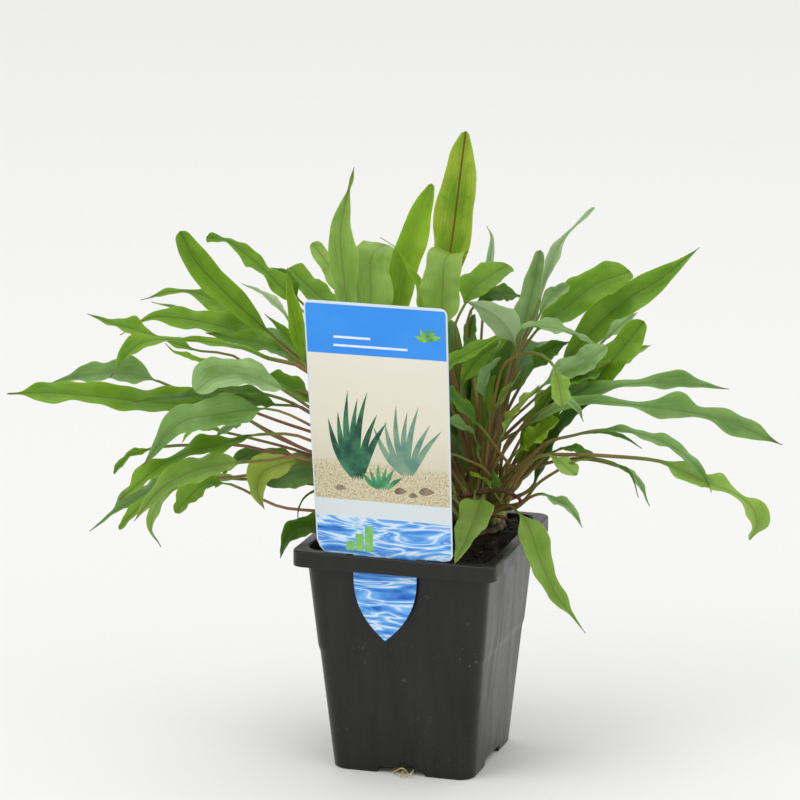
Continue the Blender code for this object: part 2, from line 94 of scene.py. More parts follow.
# The card.
CARD_Y = -42.2 * MM
CARD_THICKNESS = 0.6 * MM
CARD_X = -3.6 * MM
CARD_TOP_HALF = 31.5 * MM
CARD_FOOT_HALF = 30.0 * MM
CARD_HEIGHT = 109.0 * MM
CARD_LEAN = 4.3 * MM
CARD_CORNER = 3.0 * MM
CARD_CUT = 3.2 * MM
TAIL_HALF = 14.0 * MM
TAIL_DROP = 37.4 * MM
TAIL_STRAIGHT = 8.0 * MM
TAIL_POINT = 2.6
SLOT_HALF = 15.5 * MM
SLOT_REACH = 0.9 * MM
SLOT_DIP = 0.8 * MM
# The heights where the card's print changes from water to a pale band, to sand and to the header.
WATER_TOP = 116.5 * MM
SAND_FOOT = 124.0 * MM
HEADER_FOOT = 187.0 * MM

# Roots at the front drain notch and old stalks across the crown, as points in millimetres, and how
# thick the strands are.
ROOTS = (
    ((-4.0, -27.0, 1.6), (-3.5, -31.5, 0.7), (-1.5, -34.0, 2.4), (1.5, -34.2, 3.9),
     (3.5, -33.6, 2.2), (5.5, -34.8, 0.5)),
    ((2.0, -27.0, 2.2), (1.0, -31.0, 1.4), (0.5, -34.5, 0.5), (3.0, -36.0, 0.5), (5.5, -35.0, 1.8),
     (6.3, -33.2, 3.4)),
)
OLD_STALKS = (
    ((17.0, -2.5, 108.0), (24.0, -4.0, 110.5), (32.0, -3.0, 110.8), (38.0, 0.0, 109.2)),
    ((16.0, 0.5, 117.0), (25.0, 1.5, 119.0), (34.0, 3.0, 120.5), (41.0, 4.0, 118.0),
     (43.0, 4.5, 115.5)),
)

ROOT = 0.72 * MM
OLD_STALK = 2.1 * MM
YOUNG_SHEATH = 3.4 * MM

# The plant: which way its broad side looks, how its stalks leave the crown, its edges' waves.
SHOW_HEADING = -72.6
FOOT_RINGS = (15.2 * MM, 11.9 * MM, 8.6 * MM)
FOOT_RISE = 0.95 * MM
STALK_LEAN = 0.35
STALK_RISE = 0.75
ROUTE_STEPS = 16
WAVES = 2.6
WAVE_START = 1.7
WAVE_LAG = 2.0
LOBES = 2.3
UNEVEN = 0.07
# A stalk thins by this share on its way up and by this one along the blade, where it is the midrib.
STALK_THINS = 0.3
MIDRIB_THINS = 0.72
SHEATH_FADE = 9.0 * MM
# The blade starts to open this far below its neck, and it is flat after this share of its length.
OPENING_START = 2.0 * MM
FLAT_SHARE = 0.05
RIB_WIDTH = 0.6 * MM
EDGE_POWER = 1.7
# A pointed tip is dry from this share of the blade on, and a round one from the second.
DRY_POINT = 0.93
DRY_ROUND = 0.985
DRY_FADE = 0.06

# The photograph's camera, fitted to the pot's corners.
CAMERA_DISTANCE = 1902.4 * MM
CAMERA_RISE = 14.1
CAMERA_TURN = 17.4
CAMERA_LENS = 200.0
CAMERA_SHIFT_X = -9.7 * MM
CAMERA_AIM = 158.6 * MM
FLOOR_REACH = 9.0

# Outlines of blades: the width at equal steps from the neck to the tip, in tenths of the widest. A
# tip whose last number isn't 0 is round.
SHAPES = {
    "lance": (3, 7, 9, 10, 10, 9, 8, 6, 4, 2, 0),
    "willow": (2.5, 5, 7.5, 9.5, 10, 10, 9, 7, 4.5, 2, 0),
    "ogive": (4, 6, 7.5, 9, 10, 10, 9.7, 8.9, 7.4, 5.2, 2),
    "oar": (2, 5, 7.5, 9, 10, 10, 9.5, 8, 5),
    "round": (4, 8, 9.5, 10, 10, 10, 9.5, 8),
    "strap": (5, 8, 9.5, 10, 10, 9.5, 9, 8, 5),
    "tongue": (7, 9.5, 10, 9.6, 8.8, 7.8, 6.8, 5.8, 4.8, 3),
    "heart": (6, 9.5, 10, 10, 9, 7.5, 6, 4, 2, 0),
    "spear": (3, 8, 10, 9.5, 8, 6, 4, 2.2, 1.2, 0.7, 0),
    "threaded": (4.5, 5.5, 7, 8, 9, 10, 10, 9.8, 8.8, 7.2, 5.2, 3, 1, 1.5, 0),
    "tailed": (5, 8, 9, 10, 9.5, 9, 8, 4.5, 2.5, 1, 0),
    "long": (3, 6, 8, 9, 10, 10, 9, 8, 7, 7.3, 8.5, 9, 6.5, 1.2, 0.5),
    "knobbed": (3, 8, 10, 7, 9.5, 6.5, 5, 5.5, 5),
    "two lobes": (3, 5, 5.5, 8, 10, 9, 5, 4.5, 8, 9, 5, 0),
    "diamond": (4, 6, 8.5, 10, 10, 8.5, 4, 2, 3, 3.5, 1, 0),
    "spade": (2, 4, 6, 4, 3, 6, 10, 9, 6, 2, 0),
    "hooked": (4, 6, 6, 5, 4.5, 4, 5, 8, 10, 7, 0),
    "late": (3, 5, 7, 8, 8.3, 8, 7.3, 6.5, 6, 6, 7, 9, 10, 9, 6, 2, 0),
    "ribbon": (3, 6, 8, 9, 9, 9.5, 10, 10, 10, 9, 6, 2, 0),
    "chain": (2, 6, 9, 10, 8, 5, 7, 8.5, 7, 3.5, 3, 5.5, 8, 8, 6, 1),
    "beads": (2, 3.5, 4, 4, 3.5, 4, 4.5, 4, 3, 5, 8.5, 8, 4.5, 7, 10, 9.5, 6, 1.8, 0),
    "drooping": (2, 5, 8.5, 10, 10, 9.3, 8.8, 8.3, 6.6, 5.6, 6, 5, 2.4, 1.2, 0.6, 0),
    "wisp": (2, 3, 4, 7, 10, 9, 5, 3, 2.2, 3, 3.5, 2),
}

Tone = namedtuple("Tone", "upper light under rib stalk ribbing wax")

# A leaf's colours: the upper side, its lighter patches, the under side, the midrib and the stalk;
# how plainly the midrib shows and how much the wax shines.
TONES = {
    "deep": Tone("#365a0a", "#4f7814", "#5d8030", "#55762a", "#766430", 0.45, 0.18),
    "mid": Tone("#527d12", "#709624", "#6d8f38", "#4d5a18", "#7c6936", 0.45, 0.20),
    "bright": Tone("#6a9413", "#8bb02a", "#7fa040", "#8fae3c", "#7b743b", 0.45, 0.20),
    "yellow": Tone("#738f2a", "#9aac48", "#84994a", "#6d6228", "#8a743c", 0.45, 0.22),
    "pale": Tone("#6f9433", "#8bab4e", "#7c9c52", "#6f7434", "#826d3b", 0.45, 0.25),
    "dull": Tone("#4f7628", "#6f9349", "#6f8f50", "#4f6a30", "#7c6938", 0.45, 0.35),
    # The grey and silver tones are partly painted sheen: their greyer, paler greens stand in for
    # the white shine on blades that face the light, on top of their stronger wax shine.
    "grey": Tone("#5c8234", "#8aa968", "#7c9c66", "#5c7a40", "#7c6938", 0.45, 0.45),
    "silver": Tone("#7d9a62", "#a3b88a", "#8fa678", "#6f8a50", "#7c6938", 0.45, 0.45),
    "ribbed": Tone("#66901a", "#9aae38", "#7f9c40", "#6d3d16", "#7c5c2c", 0.95, 0.20),
}

Leaf = namedtuple("Leaf", "heading guides neck width roll wave shape tone twist", defaults=(0,))

# Each leaf of the solid model: the heading of its upright plane, in degrees from +X about the
# crown; the midrib's guide points as (reach from the crown, height, sway to the left), in
# millimetres; the index of the guide point where the blade starts; the blade's width in
# millimetres; the roll of its upper side towards the plant's broad side, in degrees; the edge's
# wave in millimetres; the blade's shape and tone; and for a twisted one its twist on the way to
# the tip, in degrees.
LEAVES = (
    # Upper left, leaning back.
    Leaf(183, ((88, 179), (100, 189), (110, 198), (122, 210), (129, 223)), 0, 12, 60, 0.6, "oar",
         "mid"),
    Leaf(157, ((97, 182), (113, 193), (128, 201), (140, 206), (153, 206)), 0, 9, 30, 1.8, "knobbed",
         "mid"),
    Leaf(146, ((86, 177), (106, 183), (127, 192)), 0, 11, 25, 0.8, "round", "mid"),
    Leaf(162, ((111, 171), (125, 177), (140, 182), (157, 183), (180, 176)), 0, 14, 28, 1, "diamond",
         "mid"),
    Leaf(176, ((77, 168), (88, 172), (110, 177), (132, 180), (150, 179), (165, 170)), 1, 14, 28,
         1.4, "tailed", "mid", 20),
    Leaf(189, ((102, 171), (117, 173), (128, 176), (144, 181), (156, 184), (167, 188)), 1, 11, 20,
         1, "spade", "mid"),
    Leaf(197, ((79, 177), (90, 180), (100, 182), (113, 185)), 0, 12, 28, 0.8, "lance", "deep"),
    # Left, nearly level.
    Leaf(204, ((71, 171), (86, 176), (101, 182), (121, 185), (141, 184), (154, 170)), 1, 11, 16,
         1.2, "hooked", "mid"),
    Leaf(193, ((99, 151), (119, 155), (134, 161), (147, 164), (160, 164), (182, 159.5)), 2, 19, 18,
         0.8, "lance", "dull"),
    Leaf(203, ((72, 136), (88, 145), (105, 154), (139, 158), (161, 161), (181, 163), (198, 163)), 2,
         17, 30, 1.4, "long", "mid"),
    Leaf(209, ((72, 155), (87, 162), (102, 164), (117, 163), (146, 162)), 1, 12, 12, 0.8, "lance",
         "deep"),
    Leaf(220, ((72, 158), (84, 167), (95, 173), (107, 177), (117, 176), (125, 171)), 1, 18, 28, 0.6,
         "round", "grey"),
    Leaf(225, ((79, 155), (88, 160), (97, 163), (116, 163), (137, 161), (154, 145)), 2, 17, 35, 1,
         "lance", "dull"),
    Leaf(205, ((71, 154), (82, 156), (88, 157), (101, 159), (118, 157)), 1, 14, 20, 0.8, "lance",
         "deep"),
    Leaf(215, ((75, 140), (90, 148), (98, 154), (103, 153), (113, 148)), 2, 10, 12, 0.6, "lance",
         "grey"),
    # Lower left, coming forward.
    Leaf(225, ((79, 148), (100, 152), (110, 151), (121, 149.5), (130, 148.5), (139, 146.5),
         (146, 144), (152, 140.5), (159, 135.5), (165, 132)), 1, 11, 25, 1.6, "two lobes", "mid"),
    Leaf(204, ((73, 127), (95, 131), (116, 127), (133, 121), (149, 113), (164, 102)), 2, 15, 22,
         1.6, "tailed", "dull"),
    Leaf(224, ((79, 139), (97, 140), (107, 140.5), (117, 140.5), (131, 139), (145, 133),
         (157, 121)), 2, 14, 30, 1.2, "lance", "pale"),
    Leaf(210, ((74, 123), (100, 126), (118, 126), (132, 122), (139, 107), (135, 98)), 1, 14, 15, 1,
         "lance", "pale"),
    Leaf(218, ((72, 113), (86, 116), (99, 123), (108, 128), (120, 129), (133, 118)), 3, 13, 16, 0.8,
         "oar", "mid"),
    Leaf(197, ((64, 127), (71, 128), (80, 129), (89, 130), (96, 129.5), (102, 126), (106, 121.5),
         (109.5, 116)), 1, 13, 16, 0.6, "lance", "deep"),
    Leaf(221, ((79, 136), (87, 136), (96, 133), (98, 126), (95, 117)), 0, 15, 30, 0.6, "lance",
         "yellow"),
    Leaf(218, ((63, 127), (72, 130), (82, 130), (93, 127)), 0, 20, 30, 0.6, "oar", "dull"),
    Leaf(213, ((58, 100), (64, 103), (70, 104), (75, 103.5), (79, 101), (82, 97), (84, 91)), 0, 14,
         25, 0.8, "lance", "deep"),
    # Upright, in the middle.
    Leaf(122, ((41, 193, 44), (57, 204, 47), (70, 213, 52)), 0, 8, 25, 0.8, "strap", "pale"),
    Leaf(129, ((20, 186, 46), (25, 203, 47), (33, 227, 46), (40, 253, 37)), 0, 13, 0, 0.8,
         "threaded", "pale"),
    Leaf(121, ((16, 185, 39), (21, 201, 38), (29, 214, 36), (40, 217, 27)), 0, 18, 0, 0.6, "strap",
         "pale"),
    Leaf(116, ((21, 182, 27), (29, 201, 25), (36, 219, 19), (44, 242, 9)), 0, 13, 0, 0.8, "ogive",
         "bright"),
    Leaf(94, ((6, 184, 13), (8, 197, 13.5), (12, 223, 10), (14, 251, 7), (16, 270, 5)), 1, 17, 0,
         0.6, "ogive", "ribbed"),
    Leaf(83, ((-8, 187, 8), (-7, 205, 9), (-3, 218, 9), (8, 217, 7)), 0, 18, 0, 0.6, "strap",
         "pale"),
    Leaf(87, ((19, 181, 13), (28, 190, 12), (38, 197, 10), (58, 203, 2)), 1, 15, 12, 0.4, "strap",
         "mid"),
    Leaf(82, ((36, 179, 17), (44, 188, 16), (55, 190, 10), (68, 186, 0)), 1, 12, 32, 1, "lance",
         "deep"),
    Leaf(11, ((5, 156), (9, 171), (16, 185), (20, 195)), 1, 14, 0, 0.8, "lance", "mid"),
    Leaf(320, ((15, 168, 14), (25, 184, 7), (34, 196, -4), (40, 205, -17), (46, 212, -32)), 1, 12.5,
         0, 0.6, "lance", "silver"),
    # Right, leaning back.
    Leaf(65, ((14, 135), (24, 155), (34, 176), (42, 197), (47, 214)), 2, 12, 20, 0.4, "tongue",
         "grey"),
    Leaf(53, ((28, 174), (38, 194), (42, 205), (50, 219), (68, 232)), 1, 7, 20, 0.6, "wisp",
         "silver"),
    Leaf(59, ((27, 164), (39, 179), (57, 187), (75, 195), (97, 198)), 1, 16, 40, 1, "oar", "mid"),
    Leaf(57, ((53, 160), (71, 175), (91, 186), (112, 193), (135.5, 204)), 0, 15, 40, 0.8, "willow",
         "mid"),
    Leaf(44, ((45, 153), (60, 162), (75, 167), (90, 170)), 1, 14, 30, 0.8, "lance", "pale"),
    Leaf(34, ((49, 147), (60, 162), (70, 173), (80, 185)), 0, 13, 50, 1, "oar", "mid"),
    Leaf(35, ((23, 184), (35, 185), (48, 181), (62, 173)), 0, 13, 12, 0.8, "lance", "grey"),
    # Right, nearly level and drooping.
    Leaf(14, ((16, 135), (31, 148), (46, 156), (59, 161), (74, 164), (91, 164), (112, 162)), 1, 13,
         18, 1, "late", "dull"),
    Leaf(2, ((10, 132), (25, 145), (43, 156), (62, 158.5), (80, 157.5), (97, 156.5), (115, 153),
         (137.5, 145)), 1, 17, 25, 1.8, "beads", "dull"),
    Leaf(348, ((35, 139), (52, 146.5), (63, 150), (75, 151.5, -1), (91, 151, -4), (105, 148, -8),
         (114.5, 144, -12), (121, 139, -15), (124.5, 135, -17)), 2, 6.5, 20, 0.8, "ribbon", "dull"),
    Leaf(342, ((32, 133), (53, 139), (79, 142), (92, 143), (97.5, 143), (107, 141), (118, 138),
         (129.5, 136), (137, 134), (143, 130), (145.3, 124), (142, 116)), 4, 13, 20, 1.6, "chain",
         "pale"),
    Leaf(329, ((25, 113), (31, 112), (36, 109.5), (40, 104.5), (45, 95), (51, 86), (58, 78.5),
         (66, 73.5), (74, 67.5)), 1, 12, 30, 1.4, "drooping", "pale"),
    Leaf(265, ((8, 119, 12), (17, 118, 13.5), (28, 115, 15.5), (41, 109, 17), (52, 104, 17.5),
         (61, 99.8, 18)), 1, 15.5, 0, 1, "heart", "pale"),
    Leaf(332, ((19, 171), (31, 181), (42, 183), (49, 180.5), (52.5, 174.5), (54.5, 168),
         (55.5, 162.5)), 3, 9, 20, 0.8, "oar", "pale"),
    Leaf(358, ((15, 123), (21, 133), (30, 141), (41, 150)), 1, 15, 30, 1, "oar", "bright"),
    Leaf(339, ((12, 126), (17, 140), (25, 153), (38, 168)), 1, 14, 30, 1, "lance", "yellow"),
    # Behind and low: the photo hides these, so they are guessed.
    Leaf(149, ((60, 150), (90, 160), (124, 158)), 0, 14, 10, 1.2, "lance", "deep"),
    Leaf(127, ((50, 150), (80, 164), (111, 160)), 0, 15, 0, 1.2, "lance", "deep"),
    Leaf(97, ((40, 140), (70, 156), (102, 152)), 0, 15, 0, 1.2, "lance", "mid"),
    Leaf(85, ((45, 145), (78, 160), (110, 158)), 0, 15, 0, 1.2, "lance", "deep"),
    Leaf(66, ((45, 140), (75, 150), (105, 142)), 0, 14, 0, 1.2, "lance", "mid"),
)

# The small leaves and tips between them, which are too many to be solids.
SMALL_LEAVES = (
    Leaf(160, ((101, 166), (127, 168), (147, 170), (163, 173), (179, 174)), 1, 5, 20, 0.3, "lance",
         "grey"),
    Leaf(150, ((89, 171), (110, 181), (116, 187), (123, 192), (129, 193)), 1, 8, 20, 0.5, "lance",
         "deep"),
    Leaf(190, ((66, 162), (71, 171), (73.5, 180), (75.5, 191), (77.5, 201), (78.5, 211.5)), 1, 8,
         60, 0.2, "heart", "bright"),
    Leaf(162, ((89, 165), (95, 176), (102, 183), (111, 188), (122, 191)), 1, 6, 0, 0.3, "willow",
         "silver"),
    Leaf(182, ((64, 158), (74, 170.5), (78.5, 175), (83, 180), (87.5, 184.5), (91.5, 188)), 0, 9,
         20, 0.3, "willow", "mid"),
    Leaf(200, ((90, 169), (105, 171), (113, 173), (120, 176), (126, 178), (130, 182)), 1, 5, 20,
         0.3, "lance", "bright"),
    Leaf(214, ((75, 138), (95, 145), (108, 149), (119, 152), (124, 150), (127, 146)), 2, 7, 20, 0.4,
         "lance", "bright"),
    Leaf(208, ((95, 139), (117, 141), (134, 141), (143, 139), (147, 138), (151, 134), (154, 130)),
         2, 5, 20, 0.3, "strap", "mid"),
    Leaf(214, ((75, 130), (102, 129), (124, 129), (137, 124), (146, 119), (155, 110)), 2, 7, 20,
         0.4, "strap", "mid"),
    Leaf(218, ((57, 124), (72, 121), (76, 118), (78, 113), (78, 109)), 1, 1.5, 0, 0.1, "lance",
         "deep"),
    Leaf(200, ((53, 150), (64, 153), (70, 157), (75, 161), (80, 164), (86, 167)), 1, 13, 25, 0.4,
         "oar", "mid"),
    Leaf(118, ((10, 187, 17), (16, 203, 18), (20, 210, 22), (26, 218, 27), (30, 222, 33)), 0, 5, 30,
         0.3, "spear", "bright"),
    Leaf(95, ((58, 186, 5), (60, 197, 4), (66, 209, 3), (70, 213, 4), (74, 216.5, 7)), 0, 4, 0, 0.2,
         "lance", "silver"),
    Leaf(50, ((27, 174), (36, 187), (42, 195), (52, 200)), 1, 7, 30, 0.4, "oar", "grey"),
    Leaf(48, ((57, 164), (69, 173), (78, 179), (87, 184)), 1, 7, 30, 0.4, "lance", "grey"),
    Leaf(22, ((16, 146), (31, 160), (40, 166), (50, 171), (60, 178)), 1, 12, 40, 0.7, "oar",
         "grey"),
    Leaf(352, ((36, 139), (52, 146), (65, 148), (75, 146), (81, 143)), 1, 4, 15, 0.2, "lance",
         "deep"),
    Leaf(345, ((21, 118), (34, 131), (42, 138), (51, 141), (62, 139)), 2, 6, 15, 0.3, "oar",
         "deep"),
    Leaf(338, ((22, 117), (34, 133), (43, 138), (50, 136), (59, 132)), 2, 8, 30, 0.3, "oar",
         "pale"),
    Leaf(350, ((32, 129), (53, 136), (68, 136), (77, 132), (81, 122)), 2, 3, 15, 0.2, "spear",
         "deep"),
    Leaf(352, ((32, 129), (53, 135), (69, 134), (78, 130), (85, 118)), 2, 4.5, 15, 0.3, "lance",
         "grey"),
    Leaf(340, ((28, 114), (37, 124), (48, 132), (56, 137), (65, 140)), 3, 3, 0, 0.2, "lance",
         "mid"),
    Leaf(332, ((29, 113), (37, 119), (44, 122), (52, 121), (61, 119), (68, 112)), 2, 6, 20, 0.4,
         "lance", "grey"),
    Leaf(228, ((-6, 114, 15), (3, 129, 19), (13, 135, 20), (22, 139, 22), (31, 137, 24),
         (40, 131, 23)), 3, 14, 30, 0.8, "oar", "grey"),
    Leaf(236, ((-10, 120, 21), (-7, 127, 23), (2, 137, 24), (14, 151, 25), (28, 165, 23),
         (39, 174, 22)), 3, 14, 40, 0.6, "lance", "deep"),
    Leaf(70, ((4, 141, 2), (10, 157, 11), (16, 169, 7), (22, 177, -1), (28, 181, -5)), 1, 9, 20,
         0.5, "lance", "mid"),
    Leaf(344, ((26, 146), (42, 159), (49, 162), (55, 159), (58, 154)), 1, 5, 20, 0.3, "lance",
         "grey"),
    Leaf(300, ((13, 112, 12), (17, 121, 9), (20, 130, 6)), 0, 5, 10, 0.2, "lance", "deep"),
    Leaf(262, ((5, 110, 17), (12, 120, 17), (17, 126, 15), (23, 129, 12)), 1, 8, 20, 0.2, "oar",
         "bright"),
    Leaf(40, ((4, 146, -1), (8, 161, 12), (14, 172, 31), (20, 183, 40)), 1, 8, 10, 0.5, "oar",
         "deep"),
    Leaf(40, ((15, 141), (22, 155), (29, 165), (39, 174), (48, 177)), 2, 11, 30, 0.7, "lance",
         "deep"),
    Leaf(20, ((16, 142), (27, 154), (33, 159), (45, 165), (57, 167)), 2, 10, 30, 0.6, "oar", "mid"),
    Leaf(330, ((6, 142, 7), (10, 157, 0), (14, 169, -3), (20, 178, 0)), 1, 10, 10, 0.4, "oar",
         "grey"),
    Leaf(240, ((0, 118, 13), (4, 128, 14), (8, 135.5, 14.5), (9.5, 140.5, 15.5),
         (12.5, 145.5, 14.5), (16, 149, 12), (20.5, 151, 9)), 2, 12, 30, 0.4, "oar", "dull"),
    Leaf(165, ((70, 150), (80, 157), (87, 162), (92, 165), (99.5, 167.5), (106.5, 169.5),
         (113.5, 169.5)), 1, 12, 30, 0.4, "oar", "dull"),
    Leaf(17, ((-16, 140, -3), (-16.5, 155, -6), (-14, 167, -9), (-8, 174, -11), (-1, 178.5, -12),
         (6.5, 182.5, -12), (13, 186.5, -11), (17, 188.5, -9)), 2, 10, 25, 0.6, "lance", "mid"),
    Leaf(17, ((6.5, 138.5, -4), (9.5, 148.5, -5), (13.5, 156, -6), (18, 163, -6), (23, 171, -5)), 1,
         6, 20, 0.4, "lance", "yellow"),
)


def linear(code, alpha=1.0):
    """An sRGB hex colour as linear red, green, blue and alpha."""
    channels = [int(code[at:at + 2], 16) / 255.0 for at in (1, 3, 5)]
    return (*[c / 12.92 if c <= 0.04045 else ((c + 0.055) / 1.055) ** 2.4 for c in channels], alpha)


def fill(tree, made, inputs):
    """Fills a node's inputs: a socket is linked, a hex colour turned to linear, a value set."""
    for place, value in inputs.items():
        if isinstance(value, bpy.types.NodeSocket):
            tree.links.new(value, made.inputs[place])
        elif isinstance(value, str):
            made.inputs[place].default_value = linear(value)
        else:
            made.inputs[place].default_value = value


def node(tree, kind, inputs=(), out=0, stops=(), **settings):
    """Adds a shader node with its settings, inputs and colour stops, and gives one of its outputs.

    An input goes by its name or its number. For a range the numbers mean: 0 the value, 1 and 2
    where it starts and ends, 3 and 4 what comes out there. For a mix of colours: 0 the share, 6
    and 7 the colours.
    """
    made = tree.nodes.new("ShaderNode" + kind)
    for name, value in settings.items():
        setattr(made, name, value)
    for _ in stops[2:]:
        made.color_ramp.elements.new(0.5)
    for place, (position, colour) in enumerate(stops):
        made.color_ramp.elements[place].position = position
        made.color_ramp.elements[place].color = linear(colour)
    fill(tree, made, dict(inputs))
    return made.outputs[out]


def new_material(name):
    """A new material, its node tree, its shader and its object coordinates."""
    made = bpy.data.materials.new(name)
    made.use_nodes = True
    tree = made.node_tree
    return made, tree, tree.nodes["Principled BSDF"], node(tree, "TexCoord", out="Object")


def coats(tree, ground, *layers):
    """Colours laid over a ground in turn, and what the last one gives.

    Each layer is a measure, where it starts and ends, how much of the layer covers there, and its
    colour.
    """
    for measure, start, end, first, last, colour in layers:
        share = node(tree, "MapRange", {0: measure, 1: start, 2: end, 3: first, 4: last})
        ground = node(tree, "Mix", {0: share, 6: ground, 7: colour}, 2, data_type="RGBA")
    return ground


def mesh_object(name, points, corners, sizes, numbers=None):
    """A smooth mesh from whole arrays: points, the faces' corners in a row and the faces' sizes."""
    mesh = bpy.data.meshes.new(name)
    mesh.vertices.add(len(points))
    mesh.vertices.foreach_set("co", np.asarray(points, dtype=np.float32).ravel())
    mesh.loops.add(len(corners))
    mesh.loops.foreach_set("vertex_index", np.asarray(corners, dtype=np.int32))
    mesh.polygons.add(len(sizes))
    starts = np.concatenate([[0], np.cumsum(sizes)[:-1]])
    mesh.polygons.foreach_set("loop_start", np.asarray(starts, dtype=np.int32))
    mesh.polygons.foreach_set("use_smooth", np.ones(len(sizes), dtype=bool))
    for title, values in (numbers or {}).items():
        layer = mesh.attributes.new(title, "FLOAT", "POINT")
        layer.data.foreach_set("value", np.asarray(values, dtype=np.float32).ravel())
    mesh.update(calc_edges=True)
    made = bpy.data.objects.new(name, mesh)
    bpy.context.scene.collection.objects.link(made)
    return made


def grid_faces(rows, around):
    """The corners of the quads between rings of points, then of a face on the end rings."""
    row, point = np.meshgrid(np.arange(rows - 1) * around, np.arange(around), indexing="ij")
    after = (point + 1) % around
    quads = np.stack([row + point, row + after, row + around + after, row + around + point],
                     axis=-1)
    first = np.arange(around)[::-1]
    last = (rows - 1) * around + np.arange(around)
    corners = np.concatenate([quads.ravel(), first, last])
    return corners, np.concatenate([np.full((rows - 1) * around, 4), [around, around]])


def loft(name, rings, numbers=None):
    """A closed surface through an array of rings, each ring a row of as many points."""
    corners, sizes = grid_faces(*rings.shape[:2])
    return mesh_object(name, rings.reshape(-1, 3), corners, sizes, numbers)


def settle(piece, made, slot, *nodes):
    """Gives a piece its material and body, and hides the solids that it stands for. The slot is not
    used.
    """
    piece.data.materials.append(made)
    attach(piece, "root")
    if nodes:
        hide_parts(*nodes)
    return piece


def smooth_step(share):
    """A share from 0 to 1 that starts and ends gently: three squares less two cubes."""
    return share * share * (3.0 - 2.0 * share)


def ripple(x, y, size, seed):
    """Uneven bumps between about -1 and 1: a sum of eight sines of seeded directions and phases."""
    dice = np.random.default_rng(seed)
    turns = dice.uniform(0.0, 2.0 * pi, (8, 2))
    scales = 2.0 * pi / (size * dice.uniform(0.6, 1.8, 8))
    total = 0.0
    for (turn, phase), scale in zip(turns, scales):
        total = total + np.sin(scale * (x * cos(turn) + y * sin(turn)) + phase)
    return total / 4.0


def crown_height(reach):
    """The crown's height at a reach from its axis: half of a flat ellipse."""
    share = np.minimum(np.asarray(reach) / CROWN_RADIUS, 1.0)
    return SOIL_TOP + SOIL_MOUND + GAP + CROWN_HEIGHT * np.sqrt(1.0 - share * share)


def crown_feet():
    """Where each leaf of the solid model leaves the crown: by heading, the low ones outside."""
    def rise(index):
        reach, height = LEAVES[index].guides[LEAVES[index].neck][:2]
        return (height - 100.0) / (abs(reach) + 20.0)

    order = sorted(range(len(LEAVES)), key=lambda index: LEAVES[index].heading % 360)
    mean_heading = sum(LEAVES[index].heading % 360 for index in order) / len(order)
    feet = {}
    for first in range(0, len(order), len(FOOT_RINGS)):
        trio = order[first:first + len(FOOT_RINGS)]
        for ring, index in zip(FOOT_RINGS, sorted(trio, key=rise)):
            rank = order.index(index)
            angle = radians(mean_heading + (rank - (len(order) - 1) / 2.0) * 360.0 / len(order))
            feet[index] = (ring * cos(angle), ring * sin(angle))
    return feet


def cubic(t, start, end, leave, arrive):
    """A cubic from its start, at t = 0, to its end, at t = 1, with its slopes at both."""
    return ((2 * t**3 - 3 * t**2 + 1) * start + (t**3 - 2 * t**2 + t) * leave
            + (3 * t**2 - 2 * t**3) * end + (t**3 - t**2) * arrive)


def curve_at(points, at, after):
    """Values of a smooth curve through points, at places counted in points from the first.

    It is a cubic between each two. Its slope at a point is half the way between the neighbours, of
    which the one past the last point is given.
    """
    chain = np.concatenate([[2.0 * points[0] - points[1]], points, [after]])
    slopes = (chain[2:] - chain[:-2]) / 2.0
    part = np.minimum(at.astype(int), len(points) - 2)
    t = (at - part).reshape(-1, *[1] * (points.ndim - 1))
    return cubic(t, points[part], points[part + 1], slopes[part], slopes[part + 1])


def smooth_line(points, count):
    """A smooth line through points, as many points as asked for, evenly counted."""
    points = np.array(points, dtype=float)
    return curve_at(points, np.linspace(0.0, len(points) - 1.0, count),
                    2.0 * points[-1] - points[-2])


def leaf_route(leaf, foot):
    """The midrib as closely set points, and the number of the one where the blade starts.

    It is a cubic through the foot and the guide points. Its direction at each of them is that of
    the line through the two neighbours.
    """
    heading = radians(leaf.heading)
    outward = np.array((cos(heading), sin(heading), 0.0))
    left = np.array((-sin(heading), cos(heading), 0.0))
    centre = np.array((CROWN_X, CROWN_Y, 0.0))
    start = float(crown_height(np.hypot(*foot))) + GAP + FOOT_RISE
    knots = [centre + np.array((foot[0], foot[1], start))]
    for guide in leaf.guides:
        reach, height, sway = (*guide, 0.0)[:3]
        level = np.array((0.0, 0.0, height * MM))
        knots.append(centre + (outward * reach + left * sway) * MM + level)
    knots = np.array(knots)
    first = knots[1] - knots[0]
    lean = first * STALK_LEAN + np.array((0.0, 0.0, STALK_RISE * np.linalg.norm(first)))
    chain = np.vstack([knots[1] - lean * 2.0, knots, knots[-1] + (knots[-1] - knots[-2]) * 0.7])
    slopes = chain[2:] - chain[:-2]
    slopes /= np.linalg.norm(slopes, axis=1)[:, None]
    spans = np.linalg.norm(np.diff(knots, axis=0), axis=1)[:, None, None]
    leave = slopes[:-1, None] * spans
    arrive = slopes[1:, None] * spans
    t = np.linspace(0.0, 1.0, ROUTE_STEPS, endpoint=False)[None, :, None]
    route = cubic(t, knots[:-1, None], knots[1:, None], leave, arrive)
    return np.vstack([route.reshape(-1, 3), knots[-1:]]), (leaf.neck + 1) * ROUTE_STEPS


def blade_outline(share, shape, length, width, phase):
    """Half widths along a blade, on its two sides and between them, as shares of its widest half.

    A smooth curve through the outline's numbers. Where the last number isn't nothing, the end is a
    half circle. A slow sine makes the two sides uneven.
    """
    knots = np.array(SHAPES[shape], dtype=float) / 10.0
    plain = np.maximum(curve_at(knots, share * (len(knots) - 1.0), knots[-1]), 0.0)
    end = max(knots[-1] * width / 2.0 / length, 0.001)
    into = np.clip((share - 1.0 + end) / end, 0.0, 1.0)
    plain = plain * np.sqrt(1.0 - into * into)
    sway = UNEVEN * np.sin(2.0 * pi * LOBES * share + phase)
    return plain * (1.0 + sway), plain * (1.0 - sway), plain


